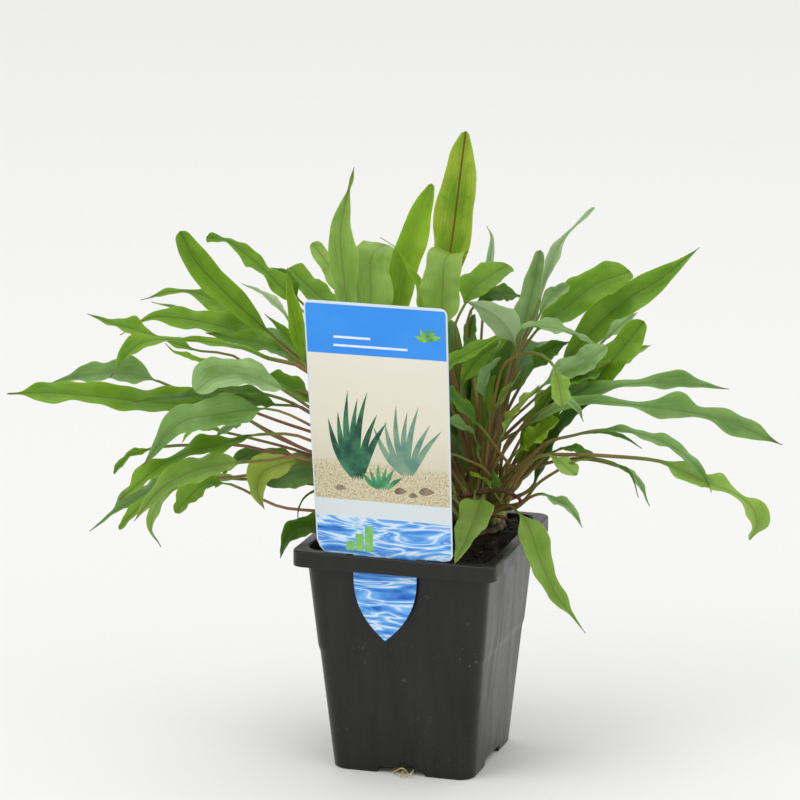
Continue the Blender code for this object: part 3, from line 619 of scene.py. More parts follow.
def leaf_surface(leaf, foot, index, look):
    """A leaf as rings of points, with the numbers that its material reads.

    Each ring runs from edge to edge over the upper side and back under it. The stalk is round and
    thickens to a sheath at its foot. The blade is a thin lens, creased along the midrib: its height
    above the midrib's plane is a fold times the distance from the midrib, plus a cup times the
    distance squared, plus waves along the blade that grow towards the edge.
    """
    route, neck = leaf_route(leaf, foot)
    along = np.concatenate([[0.0], np.cumsum(np.linalg.norm(np.diff(route, axis=0), axis=1))])
    stations = np.concatenate([np.linspace(0.0, along[neck], look.stalk_rows, endpoint=False),
                               np.linspace(along[neck], along[-1], look.blade_rows)])
    middle = np.stack([np.interp(stations, along, route[:, axis]) for axis in range(3)], axis=1)
    slope = np.gradient(route, along, axis=0)
    forward = np.stack([np.interp(stations, along, slope[:, axis]) for axis in range(3)], axis=1)
    forward /= np.linalg.norm(forward, axis=1)[:, None]
    heading = radians(leaf.heading)
    across = np.array((-sin(heading), cos(heading), 0.0))
    show = np.array((cos(radians(SHOW_HEADING)), sin(radians(SHOW_HEADING)), 0.0))
    hand = 1.0 if across @ show > 0.0 else -1.0
    side = across * hand - forward * (forward @ across)[:, None] * hand
    side /= np.linalg.norm(side, axis=1)[:, None]
    upper = np.cross(forward, side) * hand
    share = np.clip((stations - along[neck]) / (along[-1] - along[neck]), 0.0, 1.0)
    climb = np.clip(stations / along[neck], 0.0, 1.0)
    turn = (np.radians(leaf.roll + leaf.twist * share) * climb)[:, None]
    upper, side = (upper * np.cos(turn) + side * np.sin(turn),
                   side * np.cos(turn) - upper * np.sin(turn))

    steps = np.linspace(-1.0, 1.0, look.columns)
    strip = np.sign(steps) * np.sin(np.abs(steps) * pi / 2.0)**1.15
    place = np.concatenate([strip[::-1], strip[1:-1]])[None, :]
    face = np.concatenate([np.ones(look.columns), -np.ones(look.columns - 2)])[None, :]
    phase = index * WAVE_START
    blade_length = along[-1] - along[neck]
    near, far, plain = blade_outline(share, leaf.shape, blade_length, leaf.width * MM, phase)
    sheath = 1.0 + look.sheath * np.exp(-stations / SHEATH_FADE)
    stem = look.stalk / 2.0 * (1.0 - STALK_THINS * climb) * (1.0 - MIDRIB_THINS * share) * sheath
    opening = smooth_step(
        np.clip((stations - along[neck] + OPENING_START) / look.opening, 0.0, 1.0))
    near = np.maximum(near * opening * leaf.width * MM / 2.0, stem)[:, None]
    far = np.maximum(far * opening * leaf.width * MM / 2.0, stem)[:, None]
    half = np.where(place > 0.0, near, far)
    # How far a section has gone from a round stalk to a thin lens: it is three stalks wide by then.
    flat = (np.clip(share / FLAT_SHARE, 0.0, 1.0)
            * np.clip((near + far)[:, 0] / (6.0 * stem), 0.0, 1.0))
    flat = flat[:, None]
    thick = stem[:, None] * (1.0 - flat) + look.thickness / 2.0 * flat
    out = np.abs(place)
    reach = half * out
    # Long waves with shorter ones on them, and the two edges out of step.
    beat = 2.0 * pi * look.waves * share[:, None] + phase + np.where(place > 0.0, 0.0, WAVE_LAG)
    wave = np.sin(beat) + 0.35 * np.sin(2.6 * beat + 1.3 * phase)
    swell = (look.ruffle * leaf.wave * MM * plain)[:, None] * out**EDGE_POWER
    lift = flat * (look.fold * reach + look.cup * reach * out) + swell * wave
    rib = flat * look.rib * np.exp(-(reach / RIB_WIDTH)**2)
    lens = face * thick * np.sqrt(np.clip(1.0 - out * out, 0.0, 1.0))
    lift = lift + lens - np.where(face < 0.0, rib, 0.35 * rib)
    rings = (middle[:, None] + side[:, None] * (place * half)[..., None]
             + upper[:, None] * lift[..., None])
    ones = np.ones_like(half)
    dry_from = DRY_POINT if SHAPES[leaf.shape][-1] < 1 else DRY_ROUND
    numbers = {
        "across": place * half / MM,
        "vein": place * ones,
        "share": share[:, None] * ones,
        "climb": climb[:, None] * ones,
        "along": stations[:, None] / MM * ones,
        "under": (face < 0.0) * ones,
        "dry": np.clip((share[:, None] - dry_from) / DRY_FADE, 0.0, 1.0) * ones,
    }
    if hand < 0.0:
        rings = rings[:, ::-1]
        numbers = {title: values[:, ::-1] for title, values in numbers.items()}
    return rings, numbers


def small_feet():
    """Where the small leaves leave the crown: near their headings, at five reaches in turn."""
    feet = []
    for index, leaf in enumerate(SMALL_LEAVES):
        angle = radians(leaf.heading + 37.0 * (index % 5 - 2))
        reach = (0.35 + 0.13 * (index % 5)) * CROWN_RADIUS
        feet.append((reach * cos(angle), reach * sin(angle)))
    return feet


def young_leaves(count):
    """Young leaves in the thick of the plant, about the crown's axis, set by seeded chance."""
    dice = np.random.default_rng(7)
    leaves, feet = [], []
    for index in range(count):
        heading = 20.0 + (137.5 * index + dice.uniform(-15.0, 15.0)) % 205.0
        lean = dice.uniform(12.0, 30.0)
        height = dice.uniform(112.0, 142.0)
        rise = dice.uniform(14.0, 26.0)
        spread = dice.uniform(8.0, 16.0)
        guides = ((lean, height), (lean + spread * 0.6, height + rise),
                  (lean + spread * 1.5, height + rise * 1.7),
                  (lean + spread * 2.7, height + rise * 2.0))
        shape = ("lance", "oar", "willow", "strap")[index % 4]
        tone = ("deep", "mid", "deep", "dull", "mid")[index % 5]
        width, roll = dice.uniform(8.0, 13.0), dice.uniform(5.0, 45.0)
        leaves.append(Leaf(heading, guides, 0, width, roll, 0.8, shape, tone))
        turn = radians(heading)
        reach = dice.uniform(0.2, 0.8) * CROWN_RADIUS
        feet.append((reach * cos(turn), reach * sin(turn)))
    return leaves, feet


def leaf_material(name, tone):
    """A living leaf's skin: waxy green with streaks along the blade, fine veins and a midrib.

    The wax gives a soft, broad shine, the thin blade lets some light through, and the stalk goes
    from a pale sheath through brown-red to green. The veins are about six to a side, with slanting
    cross veins 2 mm apart, all a little coarser than the real ones so that they show.
    """
    made, tree, shader, place = new_material(name)
    across, along, vein, share, climb, under, dry = (
        node(tree, "Attribute", attribute_name=title, out="Fac")
        for title in ("across", "along", "vein", "share", "climb", "under", "dry"))
    away = node(tree, "Math", {0: across}, operation="ABSOLUTE")
    width = node(tree, "Math", {0: vein}, operation="ABSOLUTE")
    # A place on the blade in millimetres, drawn out five times along it for the streaks.
    drawn = node(tree, "Math", {0: along, 1: 0.2}, operation="MULTIPLY")
    drawn = node(tree, "CombineXYZ", {"X": across, "Y": drawn})
    streak = node(tree, "TexNoise",
                  {"Vector": drawn, "Scale": 0.55, "Detail": 4.0, "Roughness": 0.6})
    cloud = node(tree, "TexNoise", {"Vector": place, "Scale": 55.0, "Detail": 3.0})
    fine = node(tree, "TexNoise", {"Vector": place, "Scale": 380.0, "Detail": 2.0})
    side = node(tree, "Math", {0: width, 1: 38.0}, operation="MULTIPLY")
    side = node(tree, "Math", {0: side}, operation="SINE")
    lengthwise = node(tree, "MapRange", {0: side, 1: 0.75, 2: 1.0})
    slant = node(tree, "Math", {0: away, 1: -2.2}, operation="MULTIPLY")
    slant = node(tree, "Math", {0: along, 1: 3.1, 2: slant}, operation="MULTIPLY_ADD")
    slant = node(tree, "Math", {0: fine, 1: 6.0, 2: slant}, operation="MULTIPLY_ADD")
    slant = node(tree, "Math", {0: slant}, operation="SINE")
    crossing = node(tree, "MapRange", {0: slant, 1: 0.80, 2: 1.0, 3: 0.0, 4: 0.6})
    veins = node(tree, "Math", {0: lengthwise, 1: crossing}, operation="ADD")
    green = coats(
        tree, tone.upper,
        (cloud, 0.38, 0.62, 0.0, 1.0, tone.light),
        (streak, 0.50, 0.70, 0.0, 0.65, tone.light),
        (streak, 0.30, 0.46, 0.5, 0.0, tone.upper),
        # Painted shade and painted light: the blade is darkened beside the midrib and
        # lightened towards its edge, so that it looks rounded.
        (width, 0.0, 0.55, 0.5, 0.0, tone.upper),
        (width, 0.5, 1.0, 0.0, 0.6, tone.light),
        # The underside is paler and duller than the upper side.
        (under, 0.0, 1.0, 0.0, 0.85, tone.under),
        (veins, 0.0, 1.6, 0.0, 0.32, tone.rib),
        (away, 0.18, 0.55, tone.ribbing, 0.0, tone.rib))
    # The stalks are rosy brown on the left of the plant and olive on its right. The left's colour
    # is
    # partly painted light: it is made lighter on the side where the light came from. They are pale
    # at the foot and green at the blade.
    x = node(tree, "SeparateXYZ", {"Vector": place}, "X")
    stem = coats(
        tree, "#a8775e",
        (x, -25.0 * MM, 20.0 * MM, 0.0, 1.0, tone.stalk),
        (cloud, 0.45, 0.60, 0.0, 0.4, "#5d3f22"),
        (climb, 0.0, 0.22, 1.0, 0.0, "#a3ab5c"),
        (climb, 0.75, 1.0, 0.0, 1.0, "#6d7c34"))
    colour = coats(
        tree, stem,
        (share, 0.0, 0.07, 0.0, 1.0, green),
        (dry, 0.0, 1.0, 0.0, 0.8, "#6d4a22"))
    raised = node(tree, "Math", {0: veins, 1: -0.7, 2: streak}, operation="MULTIPLY_ADD")
    normal = node(tree, "Bump", {"Height": raised, "Distance": 0.07 * MM})
    fill(tree, shader, {"Base Color": colour, "Normal": normal, "Roughness": 0.38, "IOR": 1.42,
                        "Specular IOR Level": tone.wax, "Subsurface Weight": 0.2,
                        "Subsurface Radius": (0.7, 1.0, 0.12), "Subsurface Scale": 1.0 * MM})
    return made


class LeafSettings(bpy.types.PropertyGroup):
    stalk: bpy.props.FloatProperty(
        name="Stalk", description="Thickness of a leaf's stalk", default=1.65 * MM, min=0.5 * MM,
        unit="LENGTH")
    sheath: bpy.props.FloatProperty(
        name="Sheath", description="How much thicker a stalk is at its foot", default=0.9, min=0.0,
        subtype="FACTOR")
    thickness: bpy.props.FloatProperty(
        name="Blade", description="Thickness of a blade", default=0.30 * MM, min=0.1 * MM,
        unit="LENGTH")
    opening: bpy.props.FloatProperty(
        name="Opening", description="Length over which a blade opens out of its stalk",
        default=13.0 * MM, min=1.0 * MM, unit="LENGTH")
    rib: bpy.props.FloatProperty(
        name="Midrib", description="How far the midrib stands out below", default=0.35 * MM,
        min=0.0, unit="LENGTH")
    fold: bpy.props.FloatProperty(
        name="Fold", description="Rise of a blade's halves from the midrib", default=0.16, min=0.0,
        subtype="FACTOR")
    cup: bpy.props.FloatProperty(
        name="Cup", description="Upward curve of a blade's halves", default=0.06, min=-1.0,
        subtype="FACTOR")
    waves: bpy.props.FloatProperty(
        name="Waves", description="Waves along one edge of a blade", default=WAVES, min=0.0)
    ruffle: bpy.props.FloatProperty(
        name="Ruffle", description="Height of the edge's waves, times each leaf's own", default=1.3,
        min=0.0)
    sheaths: bpy.props.IntProperty(
        name="Young sheaths", description="Pale sheaths that stand on the crown", default=16, min=0)
    young: bpy.props.IntProperty(
        name="Young leaves", description="Leaves in the thick of the plant", default=26, min=0)
    stalk_rows: bpy.props.IntProperty(
        name="Stalk rows", description="Rows of points along a stalk", default=18, min=3)
    blade_rows: bpy.props.IntProperty(
        name="Blade rows", description="Rows of points along a blade", default=72, min=8)
    columns: bpy.props.IntProperty(
        name="Columns", description="Points across a blade, an odd number", default=17, min=5)


def curved_square(straight_steps, corner_steps):
    """Places round a rounded square: where each stands on its sides, and its outward way."""
    run = np.linspace(-1.0, 1.0, straight_steps, endpoint=False)
    turn = np.linspace(0.0, pi / 2.0, corner_steps, endpoint=False)
    stands = np.concatenate([np.stack([np.ones_like(run), run], axis=1),
                             np.ones((corner_steps, 2))])
    ways = np.concatenate([np.tile((1.0, 0.0), (straight_steps, 1)),
                           np.stack([np.cos(turn), np.sin(turn)], axis=1)])
    quarter = np.array(((0.0, 1.0), (-1.0, 0.0)))
    turns = [np.linalg.matrix_power(quarter, side) for side in range(4)]
    return (np.concatenate([stands @ turn for turn in turns]),
            np.concatenate([ways @ turn for turn in turns]))


def eased(corners, radii, steps):
    """A line of points with rounded corners: each is a parabola between its two sides."""
    corners = np.array(corners, dtype=float)
    line = [corners[:1]]
    for before, corner, after, radius in zip(corners[:-2], corners[1:-1], corners[2:], radii):
        first = (before - corner) / np.linalg.norm(before - corner)
        last = (after - corner) / np.linalg.norm(after - corner)
        t = np.linspace(0.0, 1.0, steps)[:, None]
        start = corner + first * radius
        end = corner + last * radius
        line.append((1 - t)**2 * start + 2 * t * (1 - t) * corner + t**2 * end)
    line.append(corners[-1:])
    return np.concatenate(line)


def wall_half(height):
    """Half the width of the pot's outer wall at a height, above or below its step."""
    return BASE_HALF + (SHOULDER_HALF - BASE_HALF) * height / (POT_HEIGHT - RIM_SKIRT)


def pot_rings():
    """The pot as rings: the rounded square carried up its outside, over the rim and down inside.

    The foot's edge is lifted in the middle of each side for the drain notches, and the rim's ledge
    dips where the card's tail goes through it.
    """
    below = wall_half(STEP_HEIGHT) - STEP_DEPTH / 2.0
    above = wall_half(STEP_HEIGHT) + STEP_DEPTH / 2.0
    neck = wall_half(POT_HEIGHT - WALL)
    skirt = POT_HEIGHT - RIM_SKIRT
    inside = BASE_HALF - WALL
    corners = [(2.0 * MM, 0.4 * MM), (BASE_HALF - 1.8 * MM, 0.4 * MM), (BASE_HALF - 1.4 * MM, 0.0),
               (BASE_HALF - 0.4 * MM, 0.0), (BASE_HALF, 0.6 * MM), (below, STEP_HEIGHT - 1.3 * MM),
               (above, STEP_HEIGHT + 1.3 * MM), (neck, POT_HEIGHT - WALL),
               (RIM_HALF - WALL, POT_HEIGHT - WALL), (RIM_HALF - WALL, skirt),
               (RIM_HALF, skirt), (RIM_HALF, POT_HEIGHT), (neck - WALL, POT_HEIGHT),
               (above - WALL, STEP_HEIGHT + 0.3 * MM), (below - WALL, STEP_HEIGHT - 0.3 * MM),
               (inside, FLOOR), (2.0 * MM, FLOOR)]
    radii = np.array((0.15, 0.15, 0.2, 0.3, 1.1, 1.1, 0.6, 0.4, 0.3, 0.3, 0.9, 0.8, 0.3, 0.3,
                      1.0)) * MM
    profile = eased(corners, radii, 6)
    lengths = np.concatenate([[0.0], np.cumsum(np.linalg.norm(np.diff(profile, axis=0), axis=1))])
    marks = np.unique(np.concatenate([lengths, np.arange(0.0, lengths[-1], 3.0 * MM)]))
    half = np.interp(marks, lengths, profile[:, 0])[:, None]
    height = np.interp(marks, lengths, profile[:, 1])[:, None]
    stands, ways = curved_square(44, 10)
    rim_share = np.clip((half - neck) / (RIM_HALF - neck), 0.0, 1.0)
    radius = np.minimum(CORNER_RADIUS + (RIM_RADIUS - CORNER_RADIUS) * rim_share, half * 0.9)
    spread = (half - radius)[..., None] * stands[None] + radius[..., None] * ways[None]
    tangent = np.abs(np.where(np.abs(stands[:, 0]) == 1.0, stands[:, 1], stands[:, 0]))
    tangent = tangent[None] * (half - radius)
    notch = np.clip((NOTCH_HALF - tangent) / NOTCH_EASE, 0.0, 1.0)
    notch = notch * np.clip((half - BASE_HALF + NOTCH_DEPTH) / (1.0 * MM), 0.0, 1.0)
    foot = NOTCH_HEIGHT + np.where(marks[:, None] > marks[len(marks) // 2], WALL, 0.0)
    ring_height = np.where(height < foot, height + (foot - height) * notch, height)
    slot = np.clip((SLOT_HALF - np.abs(spread[..., 0] - CARD_X)) / (0.4 * MM), 0.0, 1.0)
    slot = slot * np.clip((SLOT_REACH - np.abs(spread[..., 1] - CARD_Y)) / (0.25 * MM), 0.0, 1.0)
    ring_height = ring_height - np.where(height > POT_HEIGHT - 0.5 * MM, SLOT_DIP * slot, 0.0)
    return np.concatenate([spread, ring_height[..., None]], axis=2)


class PotSettings(bpy.types.PropertyGroup):
    plastic: bpy.props.FloatVectorProperty(
        name="Plastic", description="Colour of the pot's plastic", default=linear("#121310"),
        **COLOUR)
    scuff: bpy.props.FloatVectorProperty(
        name="Scuffs", description="Colour of the pale scuffs and dust", default=linear("#8b8b84"),
        **COLOUR)
    peat: bpy.props.FloatVectorProperty(
        name="Peat", description="Colour of the damp peat", default=linear("#15140b"), **COLOUR)
    crumb: bpy.props.FloatProperty(
        name="Crumbs", description="Size of the peat's crumbs", default=1.6 * MM, min=0.3 * MM,
        unit="LENGTH")
    crumbs: bpy.props.IntProperty(
        name="Number of crumbs", description="Loose crumbs on the peat", default=900, min=0)


def pot_material(look):
    """Moulded black polypropylene: a dull, faintly streaky skin that shines only at a low angle.

    The mould leaves a fine grain, wiping leaves dull upright streaks, and handling leaves pale
    dusty specks, most of them at one scuffed spot on the step.
    """
    made, tree, shader, place = new_material("moulded black polypropylene")
    drawn = node(tree, "Mapping", {"Vector": place, "Scale": (1.0, 1.0, 0.12)})
    streak = node(tree, "TexNoise", {"Vector": drawn, "Scale": 160.0, "Detail": 4.0})
    dust = node(tree, "TexNoise",
                {"Vector": place, "Scale": 520.0, "Detail": 5.0, "Roughness": 0.7})
    cloud = node(tree, "TexNoise", {"Vector": place, "Scale": 34.0, "Detail": 3.0})
    away = node(tree, "VectorMath", {0: place, 1: SCUFF}, "Value", operation="DISTANCE")
    scuffed = node(tree, "MapRange", {0: away, 1: 2.0 * MM, 2: 9.0 * MM, 3: 0.9, 4: 0.0})
    strewn = node(tree, "MapRange", {0: cloud, 1: 0.50, 2: 0.62, 3: 0.0, 4: 0.25})
    speck = node(tree, "MapRange", {0: dust, 1: 0.62, 2: 0.70})
    pale = node(tree, "Math", {0: scuffed, 1: strewn}, operation="MAXIMUM")
    pale = node(tree, "Math", {0: pale, 1: speck}, operation="MULTIPLY")
    colour = coats(
        tree, tuple(look.plastic),
        (streak, 0.35, 0.75, 0.0, 0.03, tuple(look.scuff)),
        (pale, 0.0, 1.0, 0.0, 1.0, tuple(look.scuff)))
    dullness = node(tree, "MapRange", {0: streak, 1: 0.35, 2: 0.7, 3: 0.24, 4: 0.40})
    grain = node(tree, "Math", {0: dust, 1: 0.5, 2: streak}, operation="MULTIPLY_ADD")
    normal = node(tree, "Bump", {"Height": grain, "Distance": 0.010 * MM})
    fill(tree, shader, {"Base Color": colour, "Roughness": dullness, "Normal": normal, "IOR": 1.49,
                        "Specular IOR Level": 0.36})
    return made


def soil_height(x, y):
    """The peat's height: level, with a mound that is flat under the crown."""
    away = np.hypot(x - CROWN_X, y - CROWN_Y)
    rise = np.clip((CROWN_RADIUS + MOUND_RADIUS - away) / MOUND_RADIUS, 0.0, 1.0)
    return SOIL_TOP + SOIL_MOUND * smooth_step(rise)


def peat_rings():
    """The peat: rounded squares up along the pot's wall, then inwards over a lumpy top.

    The top's height is the level with its mound, plus uneven bumps of 9, 3.5 and 1.5 millimetres.
    """
    clear = WALL + GAP
    stands, ways = curved_square(30, 8)
    halves = [BASE_HALF - clear - 0.4 * MM,
              wall_half(STEP_HEIGHT) - STEP_DEPTH / 2.0 - clear - 0.2 * MM]
    heights = [NOTCH_HEIGHT + 1.4 * MM, STEP_HEIGHT - 2.0 * MM]
    top = wall_half(SOIL_TOP) - clear - 0.5 * MM
    shares = np.linspace(1.0, 0.02, 40)
    halves = np.concatenate([halves, [top], top * shares])[:, None]
    heights = np.concatenate([heights, [SOIL_TOP - 1.5 * MM], np.full(40, SOIL_TOP)])[:, None]
    radius = np.minimum(CORNER_RADIUS - clear, halves * 0.8)
    spread = (halves - radius)[..., None] * stands[None] + radius[..., None] * ways[None]
    x, y = spread[..., 0], spread[..., 1]
    bumps = (0.9 * ripple(x, y, 9.0 * MM, 3) + 0.7 * ripple(x, y, 3.5 * MM, 4)
             + 0.25 * ripple(x, y, 1.5 * MM, 5))
    away = np.hypot(x - CROWN_X, y - CROWN_Y)
    bare = np.clip((away - CROWN_RADIUS + 2.0 * MM) / (4.0 * MM), 0.0, 1.0)
    lumpy = soil_height(x, y) + (bumps * bare - 0.5 * (1.0 - bare)) * MM
    height = np.where(np.arange(len(halves))[:, None] < 3, heights, lumpy)
    return np.concatenate([spread, height[..., None]], axis=2)


def crumb_cloud(count, size, seed):
    """Loose crumbs on the peat: lumpy twenty-sided balls, squashed and turned, all in one mesh."""
    dice = np.random.default_rng(seed)
    golden = (1.0 + 5.0**0.5) / 2.0
    ball = np.array([(0, 1, golden), (0, -1, golden), (0, 1, -golden), (0, -1, -golden),
                     (1, golden, 0), (-1, golden, 0), (1, -golden, 0), (-1, -golden, 0),
                     (golden, 0, 1), (golden, 0, -1), (-golden, 0, 1), (-golden, 0, -1)]) / 1.902
    faces = np.array([(0, 1, 8), (0, 8, 4), (0, 4, 5), (0, 5, 10), (0, 10, 1),
                      (3, 2, 9), (3, 9, 6), (3, 6, 7), (3, 7, 11), (3, 11, 2),
                      (1, 6, 8), (8, 9, 4), (4, 2, 5), (5, 11, 10), (10, 7, 1),
                      (6, 9, 8), (9, 2, 4), (2, 11, 5), (11, 7, 10), (7, 6, 1)])
    reach = wall_half(SOIL_TOP) - WALL - 3.0 * MM
    spots = dice.uniform(-reach, reach, (count, 2))
    radii = size / 2.0 * (0.35 + 1.3 * dice.uniform(0.0, 1.0, count)**3)
    points = ball[None] * dice.uniform(0.7, 1.15, (count, 12, 1)) * radii[:, None, None]
    points = points * np.array((1.0, 1.0, 0.7))
    turn = dice.uniform(0.0, 2.0 * pi, count)[:, None]
    x = points[..., 0] * np.cos(turn) - points[..., 1] * np.sin(turn) + spots[:, :1]
    y = points[..., 0] * np.sin(turn) + points[..., 1] * np.cos(turn) + spots[:, 1:]
    z = points[..., 2] + (soil_height(spots[:, 0], spots[:, 1]) + radii * 0.35)[:, None]
    corners = (faces[None] + 12 * np.arange(count)[:, None, None]).ravel()
    return np.stack([x, y, z], axis=-1).reshape(-1, 3), corners, np.full(20 * count, 3)


def peat_material(look):
    """Damp peat: nearly black, fibrous crumbs with brown fibres and a few pale grains."""
    made, tree, shader, place = new_material("damp peat")
    lumps = node(tree, "TexNoise",
                 {"Vector": place, "Scale": 220.0, "Detail": 6.0, "Roughness": 0.7})
    fibres = node(tree, "TexNoise",
                  {"Vector": place, "Scale": 720.0, "Detail": 4.0, "Roughness": 0.8})
    grain = node(tree, "TexVoronoi", {"Vector": place, "Scale": 130.0, "Randomness": 1.0})
    colour = coats(
        tree, tuple(look.peat),
        (lumps, 0.42, 0.70, 0.0, 1.0, "#2a2013"),
        (fibres, 0.64, 0.72, 0.0, 0.55, "#574526"),
        (grain, 0.06, 0.10, 0.7, 0.0, "#9a8d66"))
    wet = node(tree, "MapRange", {0: lumps, 1: 0.35, 2: 0.65, 3: 0.5, 4: 0.95})
    rough = node(tree, "Math", {0: fibres, 1: 0.5, 2: lumps}, operation="MULTIPLY_ADD")
    normal = node(tree, "Bump", {"Height": rough, "Distance": 1.0 * MM})
    fill(tree, shader,
         {"Base Color": colour, "Roughness": wet, "Normal": normal, "Specular IOR Level": 0.25})
    return made


def crown_rings():
    """The crown: half an ellipse turned about its axis, with ridges that run down its side."""
    lift = np.linspace(0.0, pi / 2.0, 22)[:, None]
    angle = np.linspace(0.0, 2.0 * pi, 120, endpoint=False)[None]
    ridge = 1.0 - 0.045 * (1.0 - np.abs(np.sin(8.5 * angle + 2.0 * lift))) * np.cos(lift)
    reach = CROWN_RADIUS * np.cos(lift) * ridge
    reach[-1] = 0.3 * MM
    foot = SOIL_TOP + SOIL_MOUND + GAP
    height = foot + CROWN_HEIGHT * np.sin(lift) * np.ones_like(angle)
    rings = np.stack([CROWN_X + reach * np.cos(angle), CROWN_Y + reach * np.sin(angle), height],
                     axis=-1)
    inward = rings[:1].copy()
    inward[..., 0] = CROWN_X + (inward[..., 0] - CROWN_X) * 0.1
    inward[..., 1] = CROWN_Y + (inward[..., 1] - CROWN_Y) * 0.1
    return np.concatenate([inward, rings])


def crown_material():
    """Leaf sheaths packed into a crown: thin brown skins over paler, damp stem."""
    made, tree, shader, place = new_material("packed leaf sheaths")
    cloud = node(tree, "TexNoise", {"Vector": place, "Scale": 170.0, "Detail": 4.0})
    colour = node(tree, "ValToRGB", {"Fac": cloud},
                  stops=((0.3, "#1f170b"), (0.5, "#3d2c15"), (0.7, "#6f6a35")))
    normal = node(tree, "Bump", {"Height": cloud, "Distance": 0.4 * MM})
    fill(tree, shader, {"Base Color": colour, "Roughness": 0.6, "Normal": normal})
    return made


def strand_material(name, pale, dark, size):
    """A thin living strand, such as a root or an old stalk: damp skin with blotches of one size."""
    made, tree, shader, place = new_material(name)
    blotch = node(tree, "TexNoise", {"Vector": place, "Scale": 0.5 / size, "Detail": 4.0})
    colour = coats(tree, pale, (blotch, 0.38, 0.62, 0.0, 1.0, dark))
    normal = node(tree, "Bump", {"Height": blotch, "Distance": 0.1 * MM})
    fill(tree, shader,
         {"Base Color": colour, "Roughness": 0.5, "Normal": normal, "Specular IOR Level": 0.3})
    return made


def tube_rings(line, radii, around, flatness=1.0):
    """A tube along a line: circles in the planes across it, closed to small ends."""
    line = np.array(line, dtype=float)
    forward = np.gradient(line, axis=0)
    forward /= np.linalg.norm(forward, axis=1)[:, None]
    guide = np.where(np.abs(forward[:, 2:]) > 0.9, np.array((1.0, 0.0, 0.0)),
                     np.array((0.0, 0.0, 1.0)))
    side = np.cross(forward, guide)
    side /= np.linalg.norm(side, axis=1)[:, None]
    upper = np.cross(side, forward)
    angle = np.linspace(0.0, 2.0 * pi, around, endpoint=False)
    circle = side[:, None] * np.cos(angle)[None, :, None] * -1.0
    circle = circle + upper[:, None] * np.sin(angle)[None, :, None] * flatness
    return line[:, None] + circle * np.asarray(radii)[:, None, None]


class CardSettings(bpy.types.PropertyGroup):
    header: bpy.props.FloatVectorProperty(
        name="Header", description="Colour of the card's upper band", default=linear("#2f8bea"),
        **COLOUR)
    sand: bpy.props.FloatVectorProperty(
        name="Sand", description="Colour of the picture's sand", default=linear("#bcb18c"),
        **COLOUR)
    border: bpy.props.FloatProperty(
        name="Border", description="Width of the pale edge round the print", default=0.9 * MM,
        min=0.0, unit="LENGTH")


def card_halves(height):
    """The card's left and right edges at heights: straight sides, rounded corners and tail."""
    foot = POT_HEIGHT + GAP
    up = np.clip((height - foot) / CARD_HEIGHT, 0.0, 1.0)
    half = CARD_FOOT_HALF + (CARD_TOP_HALF - CARD_FOOT_HALF) * up
    middle = CARD_X - CARD_LEAN * up
    low = np.clip((foot + CARD_CORNER - height) / CARD_CORNER, 0.0, 1.0)
    high = np.clip((height - foot - CARD_HEIGHT + CARD_CORNER) / CARD_CORNER, 0.0, 1.0)
    right = (middle + half
             - CARD_CORNER * (2.0 - np.sqrt(1.0 - low * low) - np.sqrt(1.0 - high * high)))
    cut = np.interp(height - foot, (0.0, 0.6 * CARD_CUT, 1.6 * CARD_CUT),
                    (CARD_CUT, 0.4 * CARD_CUT, 0.0))
    left = middle - half + cut + CARD_CORNER * (1.0 - np.sqrt(1.0 - high * high))
    drop = np.clip((foot - TAIL_STRAIGHT - height) / (TAIL_DROP - TAIL_STRAIGHT), 0.0, 1.0)
    tail = np.maximum(TAIL_HALF * (1.0 - drop**TAIL_POINT), 0.3 * MM)
    on_card = height >= foot
    return np.where(on_card, left, CARD_X - tail), np.where(on_card, right, CARD_X + tail)


def card_rings():
    """The card as rings: at each height, across its front and back again, between its two edges."""
    foot = POT_HEIGHT + GAP
    tail = foot - TAIL_DROP + TAIL_DROP * (1.0 - np.cos(np.linspace(0.0, pi / 2.0, 24)))
    tail[0] += 0.05 * MM
    corner = CARD_HEIGHT - CARD_CORNER * (1.0 - np.sin(np.linspace(0.0, pi / 2.0, 9)[1:]))
    rise = np.concatenate([np.linspace(0.0, 1.6 * CARD_CUT, 14),
                           np.linspace(12.0 * MM, CARD_HEIGHT - CARD_CORNER, 30), corner])
    heights = np.concatenate([tail[:-1], [foot - 0.02 * MM], foot + rise])
    heights = np.minimum(heights, foot + CARD_HEIGHT)[:, None]
    left, right = card_halves(heights)
    share = (1.0 - np.cos(np.linspace(0.0, pi, 25)))[None] / 2.0
    share = np.concatenate([share, share[:, ::-1]], axis=1)
    round_edge = 0.12 * MM
    front = np.concatenate([np.full(25, -1.0), np.full(25, 1.0)])[None]
    edge = np.minimum(share, 1.0 - share) * (right - left)
    thick = CARD_THICKNESS / 2.0 - np.clip(round_edge - edge, 0.0, round_edge)
    x = left + (right - left) * share
    return np.stack([x, CARD_Y + front * thick, heights * np.ones_like(x)], axis=-1)


